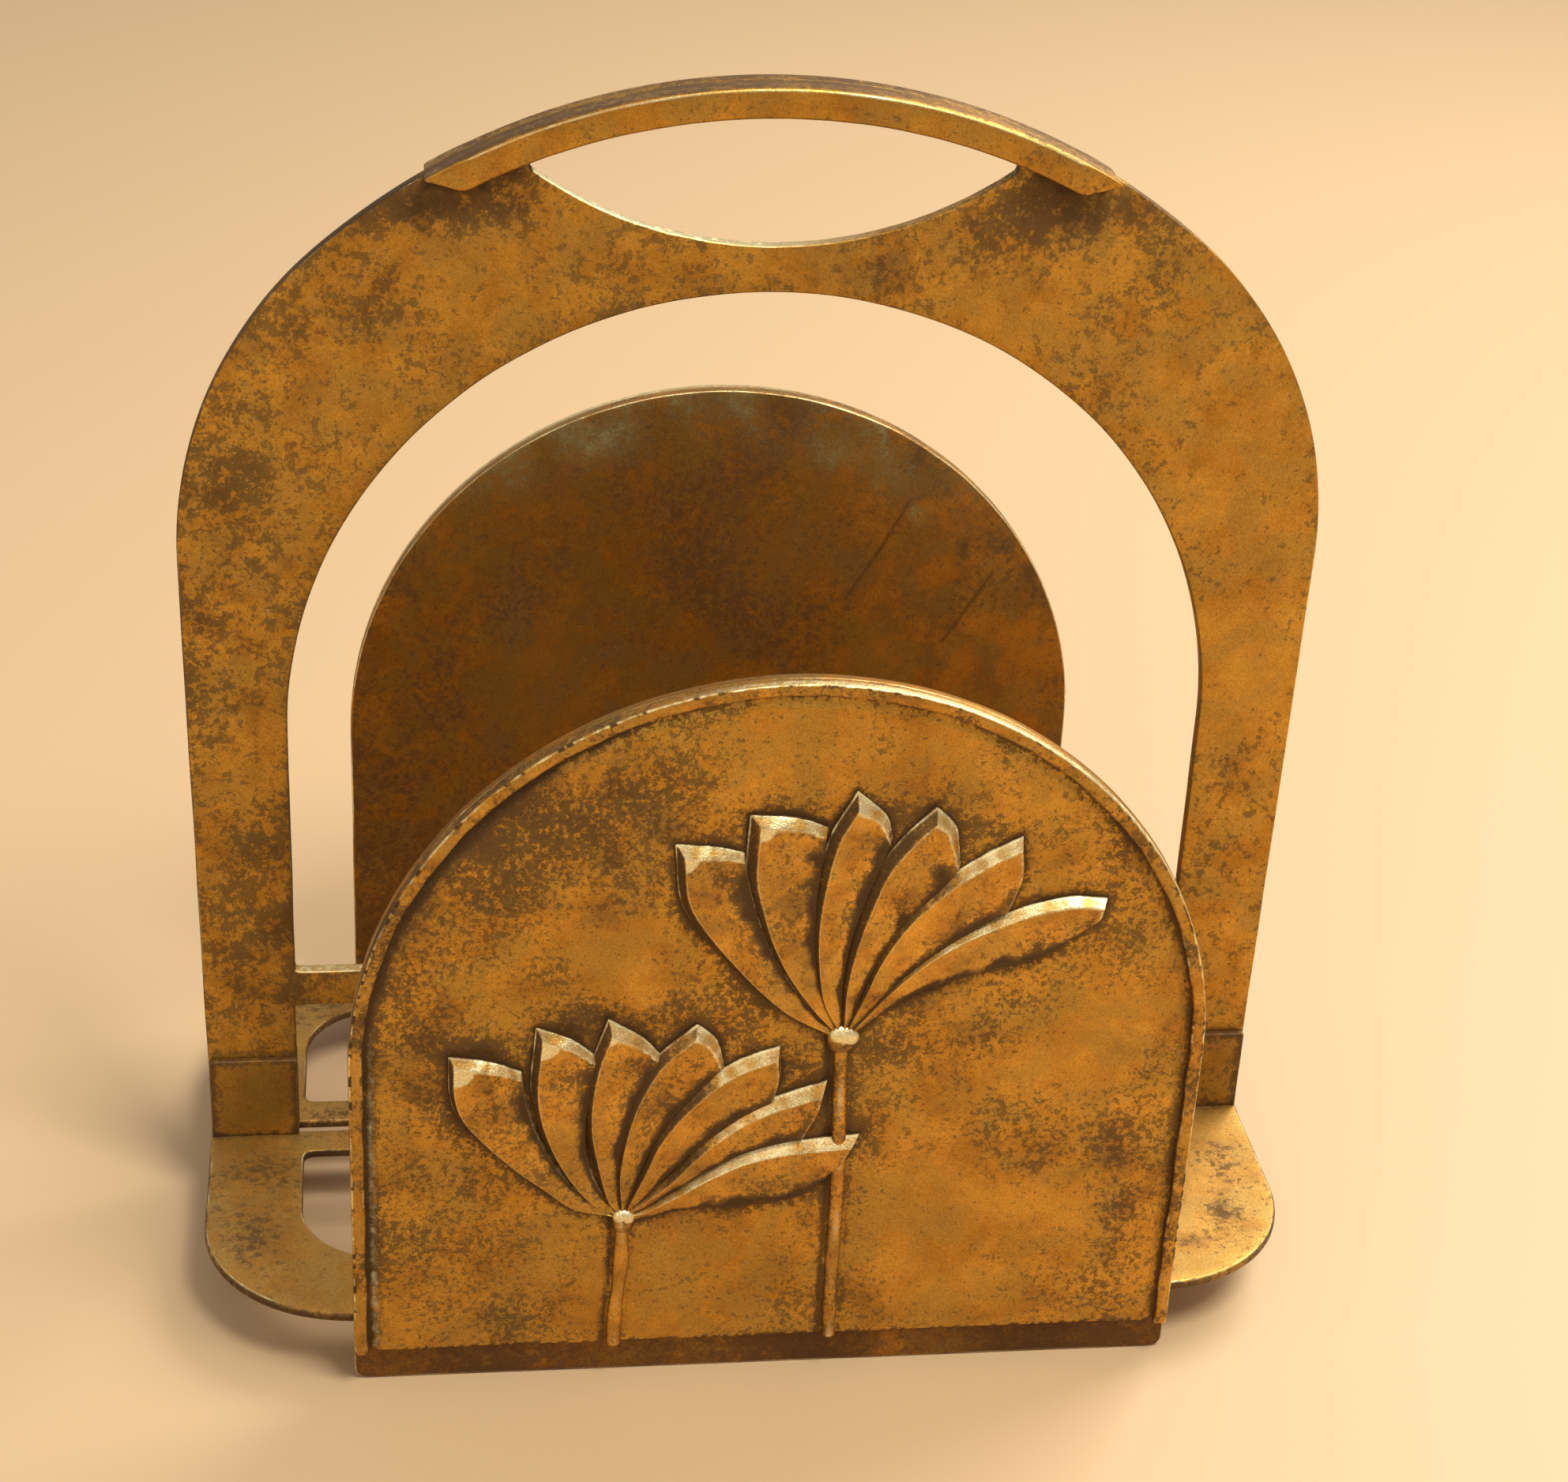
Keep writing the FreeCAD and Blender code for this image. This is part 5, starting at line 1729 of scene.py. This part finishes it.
        # Painted highlight on the calyx's upper side and crown, painted shade on its lower side; the lower
        # calyx is brighter all over.
        calyx_highlight = np.sin(turn) * 0.55 + np.sin(climb) + 0.2 * np.sin(turn * 3.0 + 1.0)
        calyx_highlight = np.clip(smooth_step(calyx_highlight, 0.25, 1.25) + 0.35 * flower.drop, 0.0, 1.0)
        index = shell.add_grid(bead, looped=True, worn=calyx_highlight, grime=0.45 * (1 - calyx_highlight))
        shell.caps.append(index[0].tolist())
        line = self.stem_line(flower)
        normal = -left_normals_open(line)
        round_by = np.linspace(-math.pi / 2 - 0.35, math.pi / 2 + 0.35, 17)[None]
        width = flower.stem_width / 2.0 * (1.0 + 0.08 * ripple(line, 17.0, seed + 40))[:, None]
        reach = width * np.sin(round_by)
        uneven = (1 - 0.08 * ripple(line, 12.0, seed + 41))[:, None]
        lift = flower.stem_rise * np.cos(round_by).clip(-0.6, 1) * uneven
        flat = line[:, None] + normal[:, None] * reach[:, :, None]
        crown = np.broadcast_to(np.cos(round_by), reach.shape)
        rubbed = 0.55 * smooth_step(crown, 0.7, 1.0) * (0.6 + 0.5 * ripple(line, 15.0, 9)[:, None])
        along = np.broadcast_to(line[:, 1:], reach.shape)
        index = shell.add_grid(np.dstack([flat, base - lift]), looped=True, along=along, across=reach,
                               **painted(grime=0.75 - 0.85 * crown, worn=rubbed))
        shell.caps += [index[0].tolist(), index[-1].tolist()]
        return shell

    def build(self) -> None:
        """Make both reliefs and dress them."""
        ground_finish, petal_finish = GROUND_FINISH.material(), PETAL_FINISH.material()
        for side, seed in ((Side.FRONT, 61), (Side.REAR, 81)):
            node = f"relief_plate_{side.value}"
            piece = self.ground(seed).build(f"relief_ground_{side.value}", self.panel.place, side,
                                            ground_finish)
            dress(piece, [node])
            for flower in self.flowers:
                piece = self.flower_shell(flower, seed).build(f"{flower.name}_{side.value}", self.panel.place,
                                                              side, petal_finish, 38.0)
                dress(piece, [node])


# ---------------------------------------------------------------- studio


@dataclass
class Studio:
    """Floor, soft lights and camera."""

    floor_colour: Colour = (0.560, 0.395, 0.225)
    sky: Colour = (1.0, 0.93, 0.83)
    sky_strength: float = 0.55
    camera_at: tuple[float, float, float] = (-0.111, -0.845, 0.616)
    pitch: float = 28.0
    yaw: float = 8.2
    roll: float = 2.98
    lens: float = 71.1
    floor_radius: float = 20.0
    floor_under: float = 0.0002    # how far the floor lies under the feet
    floor_roughness: float = 0.55
    floor_sides: int = 96

    def floor(self) -> None:
        """A wide plain disc with a very faint unevenness in its tone."""
        turn = np.linspace(0.0, 2.0 * math.pi, self.floor_sides, endpoint=False)
        ring = np.column_stack([self.floor_radius * np.cos(turn), self.floor_radius * np.sin(turn),
                                np.full(self.floor_sides, -self.floor_under)])
        mesh = bpy.data.meshes.new("studio_floor")
        mesh.from_pydata(ring.tolist(), [], [list(range(self.floor_sides))])
        g = Graph("floor_matt")
        cloud = g.grain(g.fed("ShaderNodeTexCoord", {}, "Object"), 900.0, 2.0, 0.5)
        pale = tuple(c * 1.04 for c in self.floor_colour)
        colour = g.mixed(cloud, self.floor_colour, pale)
        shade = g.fed("ShaderNodeBsdfPrincipled", {"Base Color": colour, "Roughness": self.floor_roughness})
        g.put(g.node("ShaderNodeOutputMaterial").inputs["Surface"], shade)
        mesh.materials.append(g.material)
        plane = bpy.data.objects.new("studio_floor", mesh)
        bpy.context.scene.collection.objects.link(plane)

    def lamp(self, name: str, place: tuple[float, float, float], size: float, power: float,
             colour: Colour) -> None:
        """A square soft light aimed at the rack's middle."""
        data = bpy.data.lights.new(name, "AREA")
        data.size, data.energy, data.color = size, power, colour
        lamp = bpy.data.objects.new(name, data)
        lamp.location = place
        lamp.rotation_mode = "QUATERNION"
        lamp.rotation_quaternion = (Vector(place) - Vector((0, 0, 0.15))).to_track_quat("Z", "Y")
        bpy.context.scene.collection.objects.link(lamp)

    def lights(self) -> None:
        """A soft sky, a large key above and behind on the right, and a weak fill."""
        world = bpy.data.worlds.new("soft_sky")
        world.use_nodes = True
        world.node_tree.nodes["Background"].inputs[0].default_value = (*self.sky, 1.0)
        world.node_tree.nodes["Background"].inputs[1].default_value = self.sky_strength
        bpy.context.scene.world = world
        self.lamp("key", (1.2, 0.9, 1.5), 1.1, 36.0, (1.0, 0.94, 0.84))
        self.lamp("top", (0.60, -0.75, 1.9), 0.7, 34.0, (1.0, 0.95, 0.88))
        self.lamp("fill", (-1.2, -1.8, 1.1), 1.4, 7.0, (1.0, 0.92, 0.80))

    def camera(self) -> None:
        """A camera from pitch, yaw and roll: its right axis is level, then rolled."""
        pitch, yaw, roll = (math.radians(a) for a in (self.pitch, self.yaw, self.roll))
        look = Vector((math.sin(yaw) * math.cos(pitch), math.cos(yaw) * math.cos(pitch), -math.sin(pitch)))
        right = Vector((math.cos(yaw), -math.sin(yaw), 0.0))
        up = right.cross(look)
        across = right * math.cos(roll) + up * math.sin(roll)
        upward = up * math.cos(roll) - right * math.sin(roll)
        data = bpy.data.cameras.new("view")
        data.lens, data.sensor_width = self.lens, 36.0
        data.sensor_fit = "HORIZONTAL"
        data.clip_start = 0.02
        camera = bpy.data.objects.new("view", data)
        axes = Matrix((across, upward, -look)).transposed().to_4x4()
        camera.matrix_world = Matrix.Translation(self.camera_at) @ axes
        bpy.context.scene.collection.objects.link(camera)
        bpy.context.scene.camera = camera

    def build(self) -> None:
        """Set the whole stage, seen with plain display colours."""
        bpy.context.scene.view_settings.view_transform = "Standard"
        self.floor()
        self.lights()
        self.camera()


def main() -> None:
    """Build the rack piece by piece and set the stage."""
    logging.basicConfig(level=logging.INFO, format="%(name)s %(message)s")
    arch = CentreArch()
    panel = SidePanel()
    parts = (arch, GripCheeks(arch), BasePlates(), BackPlates(panel), Rims(panel), Reliefs(panel), Studio())
    for part in parts:
        part.build()
    bpy.context.view_layer.update()


if __name__ == "__main__":
    main()
